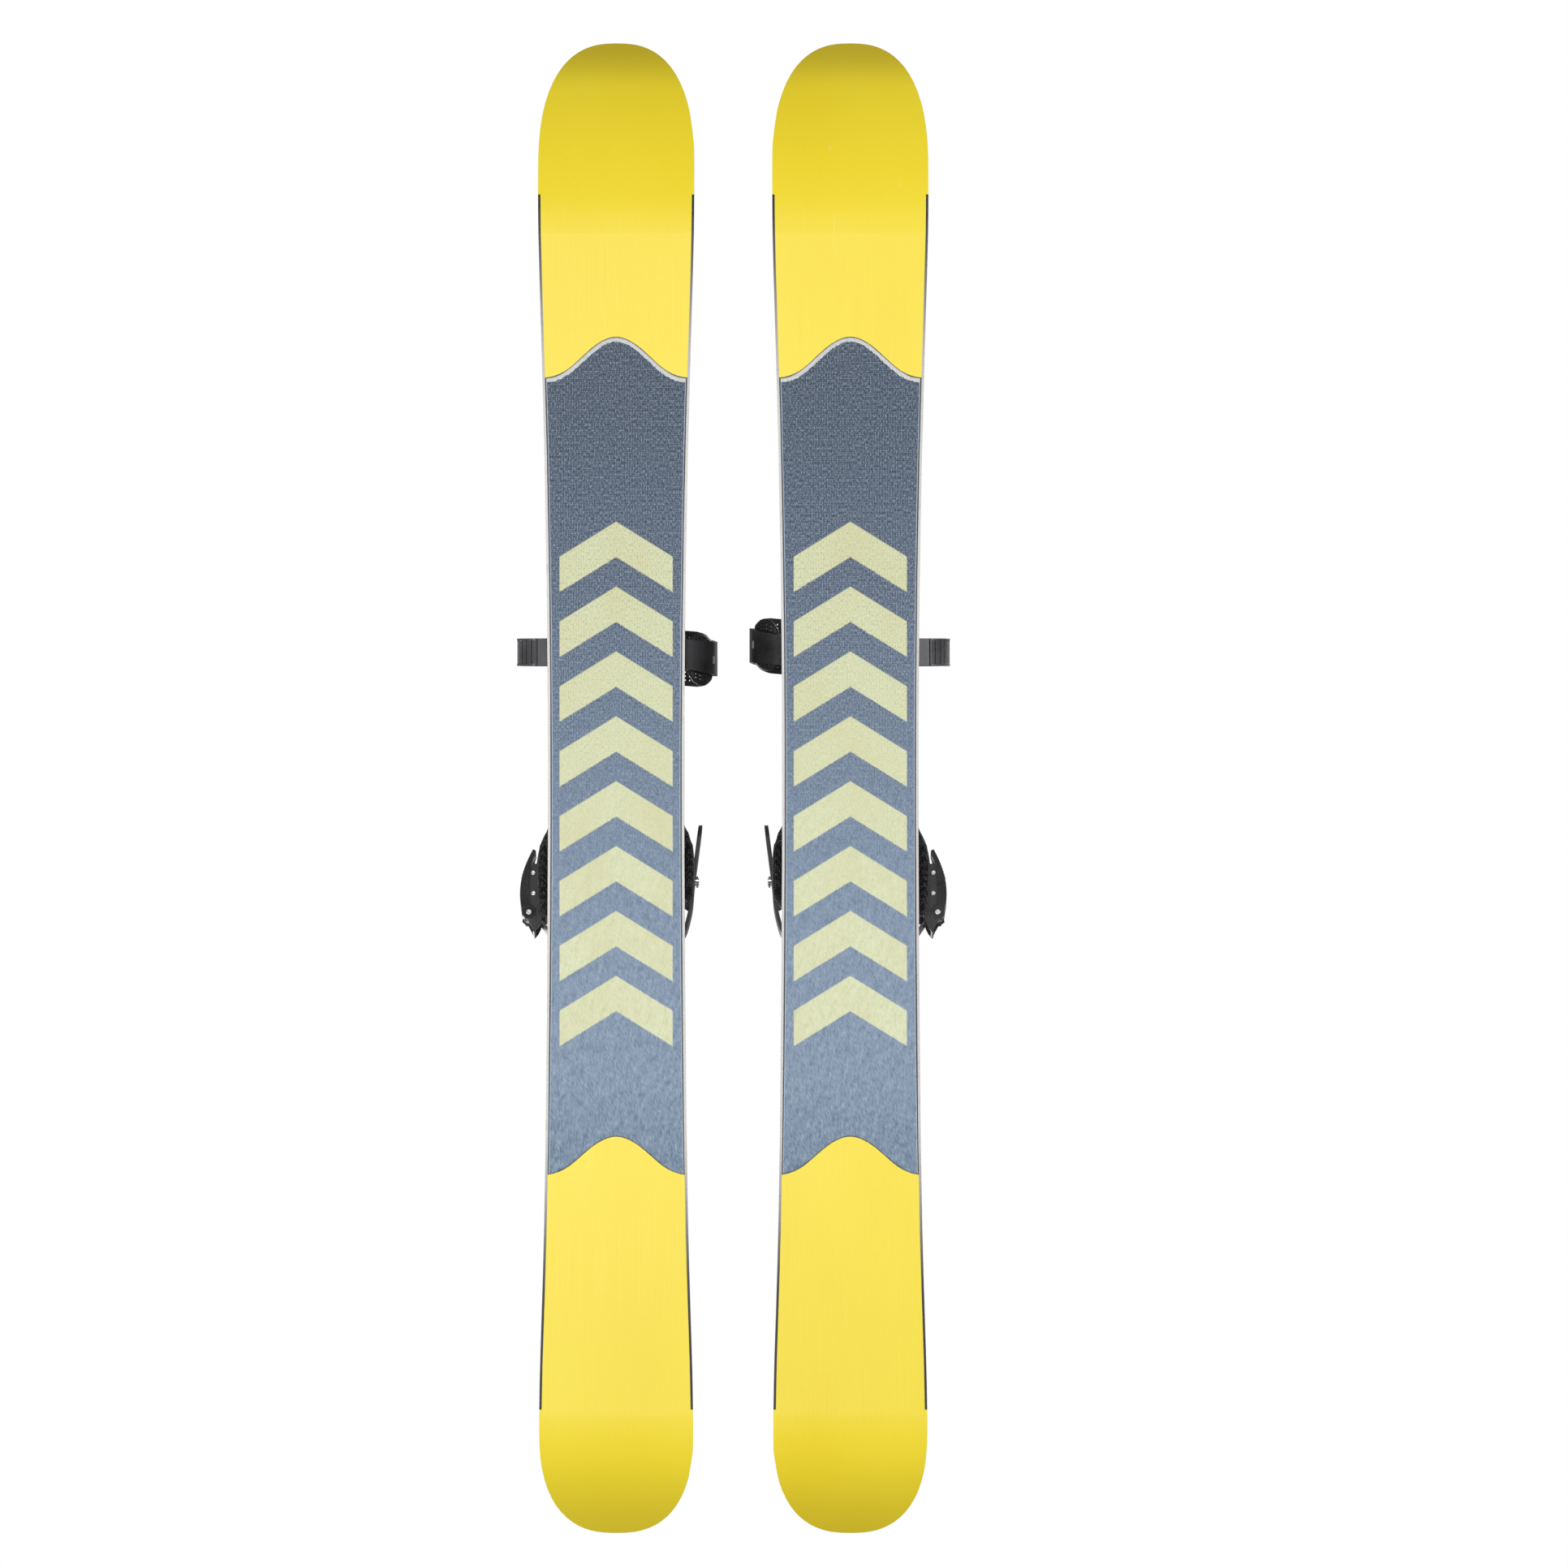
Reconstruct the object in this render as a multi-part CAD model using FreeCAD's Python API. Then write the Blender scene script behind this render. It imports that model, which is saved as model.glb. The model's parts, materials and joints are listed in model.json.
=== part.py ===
"""A pair of short, wide touring skis with free-heel strap bindings.

Millimetres. +Z is up, +Y points to the ski tips and +X to the skier's right.
The origin is on the ground in the middle of the pair. The skis lie flat.

Each ski is modelled in its own frame, with x measured outwards from the ski's
centre line, away from the other ski. The right ski is moved to +X, and the
left ski is its mirror image.
"""
import FreeCAD
import Part
import math
import os

V = FreeCAD.Vector

# ---- the pair ----
STANCE = 190.0              # centre line to centre line

# ---- plan of a ski ----
WAIST_HALF = 55.2
TIP_HALF = 63.4
TAIL_HALF = 62.5
TIP_ROUND = (500.0, 106.0)      # where the tip starts to round off, and its length
TAIL_ROUND = (-521.0, 85.0)
END_EXPONENT = 2.5              # superellipse that closes the tip and the tail
SIDECUT = ((-400.0, 59.5), (-200.0, 56.3), (0.0, WAIST_HALF),
           (150.0, 56.1), (300.0, 58.9), (400.0, 61.8), (450.0, 63.1))

# ---- side view of a ski ----
TIP_BEND = (450.0, 233.0)       # where the tip leaves the ground, and its radius
TAIL_BEND = (-510.0, 220.0)
END_THICKNESS = 6.0
MID_THICKNESS = 14.0
MID_FLAT = (-175.0, 195.0)      # the level stretch under the binding
BASE_SHEET = 2.0
TOPSHEET = 0.8
SIDEWALL = 6.0
EDGE_WIDTH = 2.0
EDGE_SPAN = (-505.0, 481.0)

# ---- climbing skin let into the base ----
SKIN_THICKNESS = 1.5
SKIN_GROOVE = 1.0
SKIN_FRONT = (332.0, 33.0)      # where the cut meets the edges, and the bell's height
SKIN_REAR = (-314.0, 31.0)
BELL_HALF = 56.0

# ---- free-heel hinge and foot plate ----
PIN_Y = 150.0
PIN_Z = 27.0
PIN_RADIUS = 4.0
FIT = 0.05                      # radial clearance of a turning pin
EAR = (30.0, 36.0)
EAR_RADIUS = 9.0
MOUNT_PLATE = (38.0, 112.0, 188.0, 4.0)     # half width, rear, front, thickness
PLATE_BOTTOM = 24.0
PLATE_TOP = 30.0
PLATE_HALF = 46.0
PLATE_REAR = -192.0
PLATE_FRONT = 132.0
FLANGE_THICKNESS = 3.0
HEEL_REST = (36.0, -150.0, -90.0, 23.6)     # half width, rear, front, top
SCREW_RADIUS = 2.75
SCREW_DEPTH = 7.0
MOUNT_SCREWS = ((25.0, 121.0), (-25.0, 121.0), (25.0, 179.0), (-25.0, 179.0))
REST_SCREWS = ((22.0, -140.0), (-22.0, -140.0), (22.0, -100.0), (-22.0, -100.0))

# ---- strap anchors: y, z of the bolt ----
TOE_BOLT = (110.0, 38.0)
ANKLE_BOLT = (-134.0, 40.0)
HEEL_BOLT = (-160.0, 40.0)
BOLT_RADIUS = 2.5
LUG_X = 50.8                    # middle of a strap's thickness at its bolt
LUG_REACH = 5.0                 # how far a strap is flat past its bolt
STRAP = 3.0                     # thickness of a strap
STRAP_HALF = 12.0
TOE_STRAP_WIDEST = 20.0
HEEL_STRAP_HALF = 11.0
LADDER = 2.0                    # thickness of a ladder strap under its teeth
LADDER_HALF = 11.2
LADDER_RAIL = (1.8, 1.6)        # width and height of the raised rail along each side
TOOTH = 1.4
TOOTH_PITCH = 5.2
TOOTH_SHAPE = ((0.22, 0.0), (0.26, 1.0), (0.42, 1.0), (0.5, 0.7), (0.94, 0.6), (0.98, 0.0))
PAD_HALF = 26.0
PAD_THICKNESS = 8.0
PAD_ROLL = (16.8, 6.4)          # w where the pad's thick borders start, and how far they stand out
TOE_PAD_HALF = 23.0

# ---- how far each strap leans from straight forwards, in degrees ----
TOE_TILT = 90.0
ANKLE_TILT = 12.0
HEEL_TILT = 160.0

# ---- strap paths: x outwards, s along the strap from its bolt ----
TOE_INNER = ((-50.8, 5), (-55, 12), (-65, 18.5), (-76, 27), (-80.5, 40), (-74, 57),
             (-57, 71), (-40, 78), (-24, 81.2), (0, 81.5), (24, 81.5))
TOE_OUTER = ((50.8, 5), (54.5, 11.5), (64, 17.5), (74.5, 26), (79, 40), (75, 56), (63, 71),
             (49, 81.5), (36, 86.2), (25, 87.2), (8, 87.2), (-8, 87.2), (-24, 87.2), (-40, 85.6),
             (-53, 81.5))
TOE_BAND = ((-12, 12, 12), (5, 12, 12), (14, 10.2, 14.5), (30, 8.6, 18.4), (42, 8.5, 19.6),
            (60, 11, 17), (76, 13, 14), (99, 13, 13))   # s, reach to -w and reach to +w
TOE_SLOTS = (27.5, 37.0)                # s of the adjusting slots in the inner strap
TOE_SLOT_W = 6.0
TOE_PAD_SKEW = 0.085                    # shift of the toe pad along w per mm inwards
TOE_PAD_EDGE = ((40, 23), (-54, 23), (-66, 22.6), (-72, 20.6), (-76, 16.5), (-80, 8))
TOE_LINING = ((-58.3, 18.8), (-65, 23), (-73, 30.8), (-76.6, 41), (-70.5, 55), (-54.5, 67.5),
              (-38.5, 74.2), (-23, 77.4), (0, 77.8), (30, 77.6))
ANKLE_INNER = ((-50.8, 5), (-54, 13.4), (-58.4, 26), (-60.6, 37), (-61.6, 49), (-63.6, 67),
               (-66.2, 87.5), (-68.3, 105))
ANKLE_OUTER = ((50.8, 5), (52.2, 10), (55.4, 16), (59.4, 21.6), (62, 26), (62.5, 31), (62.5, 50),
               (62.5, 70), (61.4, 78), (59.2, 87), (55.6, 95), (50.5, 102.5))
ANKLE_LINING = ((54.4, 24), (54.9, 44), (54.9, 66), (53.4, 80), (49.6, 92), (42.5, 104), (31, 118),
                (16, 127.5), (0, 130), (-16, 127.5), (-31, 118), (-42.5, 104), (-50, 92),
                (-53.8, 78), (-54.9, 58), (-54.6, 36))
HEEL_PATH = ((50.8, 5), (50.7, 14), (48, 25), (40, 36), (25, 44), (0, 47.5), (-25, 44),
             (-40, 36), (-48, 25), (-50.7, 14), (-50.8, 5))
KEEPER_SPAN = (14.0, 24.0)

# ---- ratchet buckle: l along the strap, w across it, h away from the foot ----
BUCKLE_HALF = 13.8
BUCKLE_WALL = 2.0
BUCKLE_FLOOR = 2.0
BUCKLE_ENDS = (-17.0, 24.5)             # of the floor
BUCKLE_NOSE = (-32.5, 7.6)
LEVER_AXLE = (-16.0, 12.0, 1.6)         # l, h, radius
PAWL_AXLE = (0.0, 8.4, 1.3)
SPRING_PIN = (17.0, 8.6, 1.3)
LEVER_LINE = ((-12.5, 16.4), (-8, 17.5), (-2, 18), (7, 17.5), (16, 15.7), (24, 13), (30, 10.4),
              (35.5, 7.6))
LEVER_THICKNESS = 2.6
LEVER_HALF = 16.0
LEVER_CHEEK = 1.8                       # the lever's sides run outside the base's walls
GRIP_RECESS = (11.0, 32.5, 9.0, 0.6)    # from l to l, half width, depth
HUB_HALF = 11.4                         # the lever's hub turns between the base's walls
PAWL_HALF = 7.0
WHEEL_RADIUS = 5.8
WHEEL_HALF = 5.0
WHEEL_TEETH = 9
STAR_RADIUS = 6.3
RIVET_AT = (-12.0, 20.0)
RIVET_RADIUS = 1.8
SPRING_WIRE = 0.35
SPRING_RADIUS = 2.0
ANKLE_BUCKLE = (59.2, 46.0)             # x of the floor, s of the buckle's middle
TOE_BUCKLE = (2.0, 83.9)                # x of the buckle's middle, s of the floor


# ---------------------------------------------------------------- basic shapes
def box(x0, x1, y0, y1, z0, z1):
    return Part.makeBox(x1 - x0, y1 - y0, z1 - z0, V(x0, y0, z0))


def rod(radius, start, end, axis):
    """Round bar of a radius along one axis, from start, of the length to end."""
    return Part.makeCylinder(radius, end, start, axis)


def spline(points, tangents=None):
    curve = Part.BSplineCurve()
    if tangents:
        curve.interpolate(Points=points, InitialTangent=tangents[0], FinalTangent=tangents[1])
    else:
        curve.interpolate(Points=points)
    return curve.toShape()


def polygon_prism(points, along):
    wire = Part.makePolygon(list(points) + [points[0]])
    return Part.Face(wire).extrude(along)


def joined(shapes):
    whole = shapes[0]
    for shape in shapes[1:]:
        whole = whole.fuse(shape)
    return whole.removeSplitter()


def rounded_slab(half, y0, y1, z0, z1, corner):
    slab = box(-half, half, y0, y1, z0, z1)
    upright = [edge for edge in slab.Edges if abs(edge.tangentAt(0).z) > 0.99]
    return slab.makeFillet(corner, upright)


# ---------------------------------------------------------------- the ski body
def end_round(half, start, length, forward):
    """Superellipse that closes one end, from one side of the ski to the other."""
    steps = 16
    power = 2.0 / END_EXPONENT
    points = []
    for step in range(steps + 1):
        turn = math.pi * step / steps
        side = math.copysign(abs(math.cos(turn)) ** power, math.cos(turn))
        reach = math.sin(turn) ** power if 0 < step < steps else 0.0
        points.append(V(half * side, start + forward * length * reach, 0))
    along = V(0, forward, 0)
    return spline(points, (along, along * -1))


def plan(inset):
    """Upright prism of the ski's plan, moved in from the edge by inset."""
    stations = ((TAIL_ROUND[0], TAIL_HALF),) + SIDECUT + ((TIP_ROUND[0], TIP_HALF),)
    ahead = (V(0, 1, 0), V(0, 1, 0))
    right = spline([V(half - inset, y, 0) for y, half in stations], ahead)
    left = spline([V(inset - half, y, 0) for y, half in stations], ahead)
    tip = end_round(TIP_HALF - inset, TIP_ROUND[0], TIP_ROUND[1] - inset, 1)
    tail = end_round(TAIL_HALF - inset, TAIL_ROUND[0], TAIL_ROUND[1] - inset, -1)
    wire = Part.Wire(Part.__sortEdges__([right, tip, left, tail]))
    prism = Part.Face(wire).extrude(V(0, 0, 120))
    prism.translate(V(0, 0, -5))
    return prism


def bend_point(bend, forward, height, degrees):
    """Point on an upturned end, at a height over the base and a turn round the bend."""
    start, radius = bend
    reach = radius - height
    turn = math.radians(degrees)
    return V(0, start + forward * reach * math.sin(turn), radius - reach * math.cos(turn))


def side_line(end_height, mid_height):
    """Edges of the side view at a height over the base, from tail to tip."""
    tail = [bend_point(TAIL_BEND, -1, end_height, turn) for turn in (29.0, 14.0, 0.0)]
    tip = [bend_point(TIP_BEND, 1, end_height, turn) for turn in (0.0, 23.0, 46.0)]
    edges = [Part.Arc(*tail).toShape()]
    if end_height == mid_height:
        edges.append(Part.makeLine(tail[2], tip[0]))
    else:
        level = (V(0, 1, 0), V(0, 1, 0))
        rear = V(0, MID_FLAT[0], mid_height)
        front = V(0, MID_FLAT[1], mid_height)
        edges.append(spline([tail[2], rear], level))
        edges.append(Part.makeLine(rear, front))
        edges.append(spline([front, tip[0]], level))
    edges.append(Part.Arc(*tip).toShape())
    return edges, tail[0], tip[2]


def layer(low, high):
    """Slab between two heights over the base, each (at the ends, in the middle)."""
    lower, lower_tail, lower_tip = side_line(*low)
    upper, upper_tail, upper_tip = side_line(*high)
    caps = [Part.makeLine(lower_tail, upper_tail), Part.makeLine(lower_tip, upper_tip)]
    wire = Part.Wire(Part.__sortEdges__(lower + upper + caps))
    slab = Part.Face(wire).extrude(V(160, 0, 0))
    slab.translate(V(-80, 0, 0))
    return slab


def bell_edge(cut, widen):
    """Cut across the skin: level at the sides, with a bell in the middle."""
    side_y, height = cut
    points = []
    for x in (-80, -66, -BELL_HALF, -42, -28, -14, 0, 14, 28, 42, BELL_HALF, 66, 80):
        rise = 0.5 + 0.5 * math.cos(math.pi * min(abs(x), BELL_HALF) / BELL_HALF)
        points.append(V(x, side_y + height * rise + widen, 0))
    return spline(points)


def skin_region(depth, widen):
    front = bell_edge(SKIN_FRONT, widen)
    rear = bell_edge(SKIN_REAR, -widen)
    sides = [Part.makeLine(V(x, SKIN_REAR[0] - widen, 0), V(x, SKIN_FRONT[0] + widen, 0))
             for x in (-80, 80)]
    wire = Part.Wire(Part.__sortEdges__([front, rear] + sides))
    return Part.Face(wire).extrude(V(0, 0, depth))


def ski_body():
    sheet = layer((0, 0), (BASE_SHEET, BASE_SHEET))
    core_top = (END_THICKNESS - TOPSHEET, MID_THICKNESS - TOPSHEET)
    filling = layer((BASE_SHEET, BASE_SHEET), core_top)
    cap = layer(core_top, (END_THICKNESS, MID_THICKNESS))
    outline = plan(0)
    inside_edges = plan(EDGE_WIDTH)
    inside_walls = plan(SIDEWALL)

    edge_reach = box(-80, 80, EDGE_SPAN[0], EDGE_SPAN[1], -5, 30)
    edges = outline.cut(inside_edges).common(edge_reach).common(sheet)
    pocket = inside_edges.common(skin_region(SKIN_THICKNESS, 0.5))
    base = outline.common(sheet).cut(edges).cut(pocket)
    skin = plan(EDGE_WIDTH + SKIN_GROOVE).common(skin_region(SKIN_THICKNESS, 0))
    walls = outline.cut(inside_walls).common(filling)
    core = inside_walls.common(filling)
    topsheet = outline.common(cap)

    for x, y in MOUNT_SCREWS + REST_SCREWS:
        hole = rod(SCREW_RADIUS, V(x, y, SCREW_DEPTH), MID_THICKNESS, V(0, 0, 1))
        core = core.cut(hole)
        topsheet = topsheet.cut(hole)
    return {"base": base, "steel_edges": edges, "climbing_skin": skin,
            "sidewalls": walls, "core": core, "topsheet": topsheet}


# ---------------------------------------------------------------- hinge and foot plate
def screw(x, y, seat):
    """Pan-head screw with a cross recess, driven down from the height of its seat."""
    shank = rod(SCREW_RADIUS, V(x, y, SCREW_DEPTH), seat - SCREW_DEPTH, V(0, 0, 1))
    head = rod(4.6, V(x, y, seat), 2.4, V(0, 0, 1))
    rim = [edge for edge in head.Edges if abs(edge.CenterOfMass.z - seat - 2.4) < 0.01]
    head = head.makeFillet(0.9, rim)
    recess = box(x - 2.4, x + 2.4, y - 0.5, y + 0.5, seat + 0.8, seat + 3)
    recess = recess.fuse(box(x - 0.5, x + 0.5, y - 2.4, y + 2.4, seat + 0.8, seat + 3))
    return shank.fuse(head).cut(recess)


def hinge_pieces():
    half, rear, front, thick = MOUNT_PLATE
    deck = MID_THICKNESS
    plate = rounded_slab(half, rear, front, deck, deck + thick, 9.0)
    ear = rod(EAR_RADIUS, V(EAR[0], PIN_Y, PIN_Z), EAR[1] - EAR[0], V(1, 0, 0))
    gusset = [V(EAR[0], PIN_Y - 22, deck + thick), V(EAR[0], PIN_Y + 22, deck + thick),
              V(EAR[0], PIN_Y + EAR_RADIUS, PIN_Z), V(EAR[0], PIN_Y - EAR_RADIUS, PIN_Z)]
    ear = joined([ear, polygon_prism(gusset, V(EAR[1] - EAR[0], 0, 0))])
    plate = joined([plate, ear, ear.mirror(V(0, 0, 0), V(1, 0, 0))])
    plate = plate.cut(rod(PIN_RADIUS, V(-60, PIN_Y, PIN_Z), 120, V(1, 0, 0)))
    window = rounded_slab(17, PIN_Y - 20, PIN_Y + 20, deck - 1, deck + thick + 1, 6.0)
    plate = plate.cut(window)

    half, rear, front, top = HEEL_REST
    rest = rounded_slab(half, rear, front, deck, top, 7.0)
    seat = deck + thick
    screws = []
    for x, y in MOUNT_SCREWS:
        screws.append(screw(x, y, seat))
        plate = plate.cut(rod(SCREW_RADIUS, V(x, y, deck - 1), thick + 2, V(0, 0, 1)))
    for x, y in REST_SCREWS:
        screws.append(screw(x, y, seat))
        rest = rest.cut(rod(SCREW_RADIUS, V(x, y, deck - 1), thick + 2, V(0, 0, 1)))
        rest = rest.cut(rod(5.4, V(x, y, seat), top, V(0, 0, 1)))
    for step in range(-2, 3):
        middle = (rear + front) / 2 + 6.0 * step
        rest = rest.cut(box(-12, 12, middle - 1.4, middle + 1.4, top - 3, top + 1))

    shaft = rod(PIN_RADIUS, V(-EAR[1], PIN_Y, PIN_Z), 2 * EAR[1], V(1, 0, 0))
    caps = [rod(6.4, V(x, PIN_Y, PIN_Z), 2.6, V(1, 0, 0)) for x in (-EAR[1] - 2.6, EAR[1])]
    socket = rod(2.2, V(EAR[1] + 1.0, PIN_Y, PIN_Z), 4, V(1, 0, 0))
    pin = joined([shaft] + caps).cut(socket)
    return {"binding_mount_plate": plate, "heel_rest": rest,
            "mount_screws": Part.makeCompound(screws), "pivot_pin": pin}


def flange(y0, y1, top):
    """Upright side wall of the foot plate with rounded upper corners."""
    inner = PLATE_HALF
    wall = box(inner, inner + FLANGE_THICKNESS, y0, y1, PLATE_BOTTOM, top)
    upper = [edge for edge in wall.Edges
             if abs(edge.CenterOfMass.z - (top + PLATE_BOTTOM) / 2) > 0.1
             or abs(edge.tangentAt(0).x) > 0.99]
    corners = [edge for edge in upper
               if abs(edge.tangentAt(0).x) > 0.99 and edge.CenterOfMass.z > top - 0.1]
    return wall.makeFillet(9.0, corners)


def foot_plate():
    slab = rounded_slab(PLATE_HALF, PLATE_REAR, PLATE_FRONT, PLATE_BOTTOM, PLATE_TOP, 16.0)
    web = box(-EAR[0] + 0.5, EAR[0] - 0.5, PLATE_FRONT - 14, PIN_Y, PLATE_BOTTOM, PLATE_TOP)
    knuckle = rod(8.0, V(-EAR[0] + 0.5, PIN_Y, PIN_Z), 2 * EAR[0] - 1, V(1, 0, 0))
    pieces = [slab, web, knuckle]
    for y0, y1, top in ((90.0, 130.0, 50.0), (-170.0, -120.0, 52.0)):
        wall = flange(y0, y1, top)
        pieces += [wall, wall.mirror(V(0, 0, 0), V(1, 0, 0))]
    for x in (-26.0, 26.0):
        pieces.append(box(x - 2, x + 2, -80, 104, PLATE_BOTTOM - 3, PLATE_BOTTOM))
    whole = joined(pieces)
    whole = whole.cut(rod(PIN_RADIUS + FIT, V(-60, PIN_Y, PIN_Z), 120, V(1, 0, 0)))
    for middle in (-45.0, -5.0):
        slot = rounded_slab(14, middle - 13, middle + 13, PLATE_BOTTOM - 1, PLATE_TOP + 1, 8.0)
        whole = whole.cut(slot)
    for y, z in (TOE_BOLT, ANKLE_BOLT, HEEL_BOLT):
        whole = whole.cut(rod(BOLT_RADIUS, V(-60, y, z), 120, V(1, 0, 0)))
    return whole


def grip_pads():
    """Two ribbed rubber pads on the foot plate, under the ball of the foot and the heel."""
    pads = []
    for half, rear, front in ((38.0, 26.0, 126.0), (36.0, -172.0, -82.0)):
        pad = rounded_slab(half, rear, front, PLATE_TOP, PLATE_TOP + 2.4, 12.0)
        count = int((front - rear - 24) / 8)
        for step in range(count):
            y = rear + 14 + 8 * step
            pad = pad.cut(box(-half + 7, half - 7, y, y + 3, PLATE_TOP + 1.2, PLATE_TOP + 4))
        pads.append(pad)
    return Part.makeCompound(pads)


def hexagon(x, y, z, radius, length):
    """Six-sided bar along x, with the radius of its corners."""
    turns = [math.radians(60 * corner) for corner in range(6)]
    corners = [V(x, y + radius * math.cos(turn), z + radius * math.sin(turn)) for turn in turns]
    return polygon_prism(corners, V(length, 0, 0))


def strap_bolts():
    """Socket-head bolts that carry the straps, each with a nut inside the flange."""
    bolts = []
    for y, z in (TOE_BOLT, ANKLE_BOLT, HEEL_BOLT):
        shank = rod(BOLT_RADIUS, V(PLATE_HALF, y, z), 6.4, V(1, 0, 0))
        head = rod(5.2, V(PLATE_HALF + 6.4, y, z), 2.0, V(1, 0, 0))
        rim = [edge for edge in head.Edges
               if abs(edge.CenterOfMass.x - PLATE_HALF - 8.4) < 0.01]
        head = head.makeFillet(0.9, rim)
        nut = hexagon(PLATE_HALF - 2.4, y, z, 4.4, 2.4)
        socket = hexagon(PLATE_HALF + 6.9, y, z, 2.3, 3.0)
        bolt = joined([shank, head, nut]).cut(socket)
        bolts += [bolt, bolt.mirror(V(0, 0, 0), V(1, 0, 0))]
    return Part.makeCompound(bolts)


# ---------------------------------------------------------------- straps
# A strap is drawn in the plane (x, s) and has its width along w. It is then
# leaned about its bolts, which turns s to the strap's direction.
def path_curve(points):
    """Smooth path through points, which leaves a lug straight along s and may end at one."""
    curve = Part.BSplineCurve()
    from_lug = points[0][1] == LUG_REACH
    to_lug = points[-1][1] == LUG_REACH
    flags = [from_lug] + [False] * (len(points) - 2) + [to_lug]
    directions = [V(0, 1, 0)] * (len(points) - 1) + [V(0, -1, 0)]
    vectors = [V(x, s, 0) for x, s in points]
    if from_lug:
        curve.interpolate(Points=vectors, Tangents=directions, TangentFlags=flags)
    else:
        curve.interpolate(Points=vectors)
    return curve


def path_samples(points, count):
    """Points and outward normals at equal steps of a path."""
    curve = path_curve(points)
    samples = []
    for point in curve.discretize(Number=count):
        at = curve.parameter(point)
        tangent = V(*curve.tangent(at)[0])
        samples.append((point, V(tangent.y, -tangent.x, 0)))
    return samples


def ribbon_side(samples, offset):
    return [point + normal * offset for point, normal in samples]


def ribbon(points, thickness, half, shift=0.0):
    """Strap along a path, half its width each way along w, and shifted outwards from the path."""
    samples = path_samples(points, 2 * len(points) + 3)
    one = ribbon_side(samples, shift + thickness / 2)
    two = ribbon_side(samples, shift - thickness / 2)
    wire = Part.Wire([spline(one), Part.makeLine(one[-1], two[-1]),
                      spline(two[::-1]), Part.makeLine(two[0], one[0])])
    strap = Part.Face(wire).extrude(V(0, 0, 2 * half))
    strap.translate(V(0, 0, -half))
    return strap


def ladder(points, half, smooth_start):
    """Strap with saw teeth between two raised rails, from smooth_start to its end."""
    curve = path_curve(points)
    teeth = int((curve.length() - smooth_start - 4.0) / TOOTH_PITCH)
    samples = path_samples(points, 2 * len(points) + 3)
    inner = ribbon_side(samples, -LADDER / 2)
    outline = [(0.0, 0.0), (smooth_start / 2, 0.0), (smooth_start, 0.0)]
    for tooth in range(teeth):
        root = smooth_start + TOOTH_PITCH * tooth
        outline += [(root + part * TOOTH_PITCH, rise * TOOTH) for part, rise in TOOTH_SHAPE]
    outline.append((curve.length(), 0.0))
    outer = []
    for reach, height in outline:
        at = curve.parameterAtDistance(reach)
        tangent = V(*curve.tangent(at)[0])
        outward = V(tangent.y, -tangent.x, 0)
        outer.append(curve.value(at) + outward * (LADDER / 2 + height))
    edges = [Part.makeLine(outer[k], outer[k + 1]) for k in range(len(outer) - 1)]
    edges += [Part.makeLine(outer[-1], inner[-1]), spline(inner[::-1]),
              Part.makeLine(inner[0], outer[0])]
    strap = Part.Face(Part.Wire(edges)).extrude(V(0, 0, 2 * half))
    strap.translate(V(0, 0, -half))
    start = curve.value(curve.parameterAtDistance(smooth_start))
    width, height = LADDER_RAIL
    depth = LADDER / 2 + height
    rails = ribbon(points, depth, half, depth / 2)
    rails = rails.cut(ribbon(points, 4 * depth, half - width))
    rails = rails.cut(box(-90, 90, -20, start.y, -30, 30))
    return strap.fuse(rails).removeSplitter()


def with_lug(strap, side, half, thickness=STRAP):
    """Adds the flat round end about the bolt and its hole, on the side +1 or -1."""
    x = side * LUG_X - thickness / 2
    bend = Part.Arc(V(x, 0, -half), V(x, -half, 0), V(x, 0, half)).toShape()
    rim = Part.makePolygon([V(x, 0, half), V(x, LUG_REACH, half), V(x, LUG_REACH, -half),
                            V(x, 0, -half)])
    lug = Part.Face(Part.Wire([bend] + rim.Edges)).extrude(V(thickness, 0, 0))
    hole = rod(BOLT_RADIUS + FIT, V(x - 4, 0, 0), thickness + 8, V(1, 0, 0))
    return strap.fuse(lug).cut(hole)


def rounded_end(strap, half, x0, x1, s_end):
    """Rounds the free end of a strap, which points to +s, over its width."""
    keep = box(x0, x1, -80, s_end - half, -half, half)
    keep = keep.fuse(rod(half, V(x0, s_end - half, 0), x1 - x0, V(1, 0, 0)))
    return strap.common(keep)


def leaned(shape, degrees, bolt):
    """Turns a strap from its own frame to the ski's, about its bolts."""
    turn = FreeCAD.Rotation(V(1, 0, 0), degrees)
    place = FreeCAD.Placement(V(0, bolt[0], bolt[1]), turn)
    return shape.transformed(place.toMatrix(), True)


# ---------------------------------------------------------------- ratchet buckle
def across(l, h, radius, half):
    return rod(radius, V(l, -half, h), 2 * half, V(0, 1, 0))


def side_profile(points, w0, w1):
    """Prism of a side view drawn in (l, h), between two places across the buckle."""
    return polygon_prism([V(l, w0, h) for l, h in points], V(0, w1 - w0, 0))


def bowed_plate(points, thickness, half, shift=0.0):
    """Plate across the buckle that follows a line drawn in (l, h)."""
    strap = ribbon(points, thickness, half, -shift)
    turn = FreeCAD.Rotation(V(1, 0, 0), 90)
    return strap.transformed(FreeCAD.Placement(V(0, 0, 0), turn).toMatrix(), True)


def star(radius, depth, teeth, w0, w1):
    """Toothed disc about the lever's axle, between two places across the buckle."""
    l, h = LEVER_AXLE[0], LEVER_AXLE[1]
    points = []
    for step in range(2 * teeth):
        reach = radius if step % 2 else radius - depth
        turn = math.pi * step / teeth
        points.append((l + reach * math.cos(turn), h + reach * math.sin(turn)))
    return side_profile(points, w0, w1)


def both_sides(line, w0, w1):
    """The same side view on both sides of the buckle."""
    return [side_profile(line, w0, w1), side_profile(line, -w1, -w0)]


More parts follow.
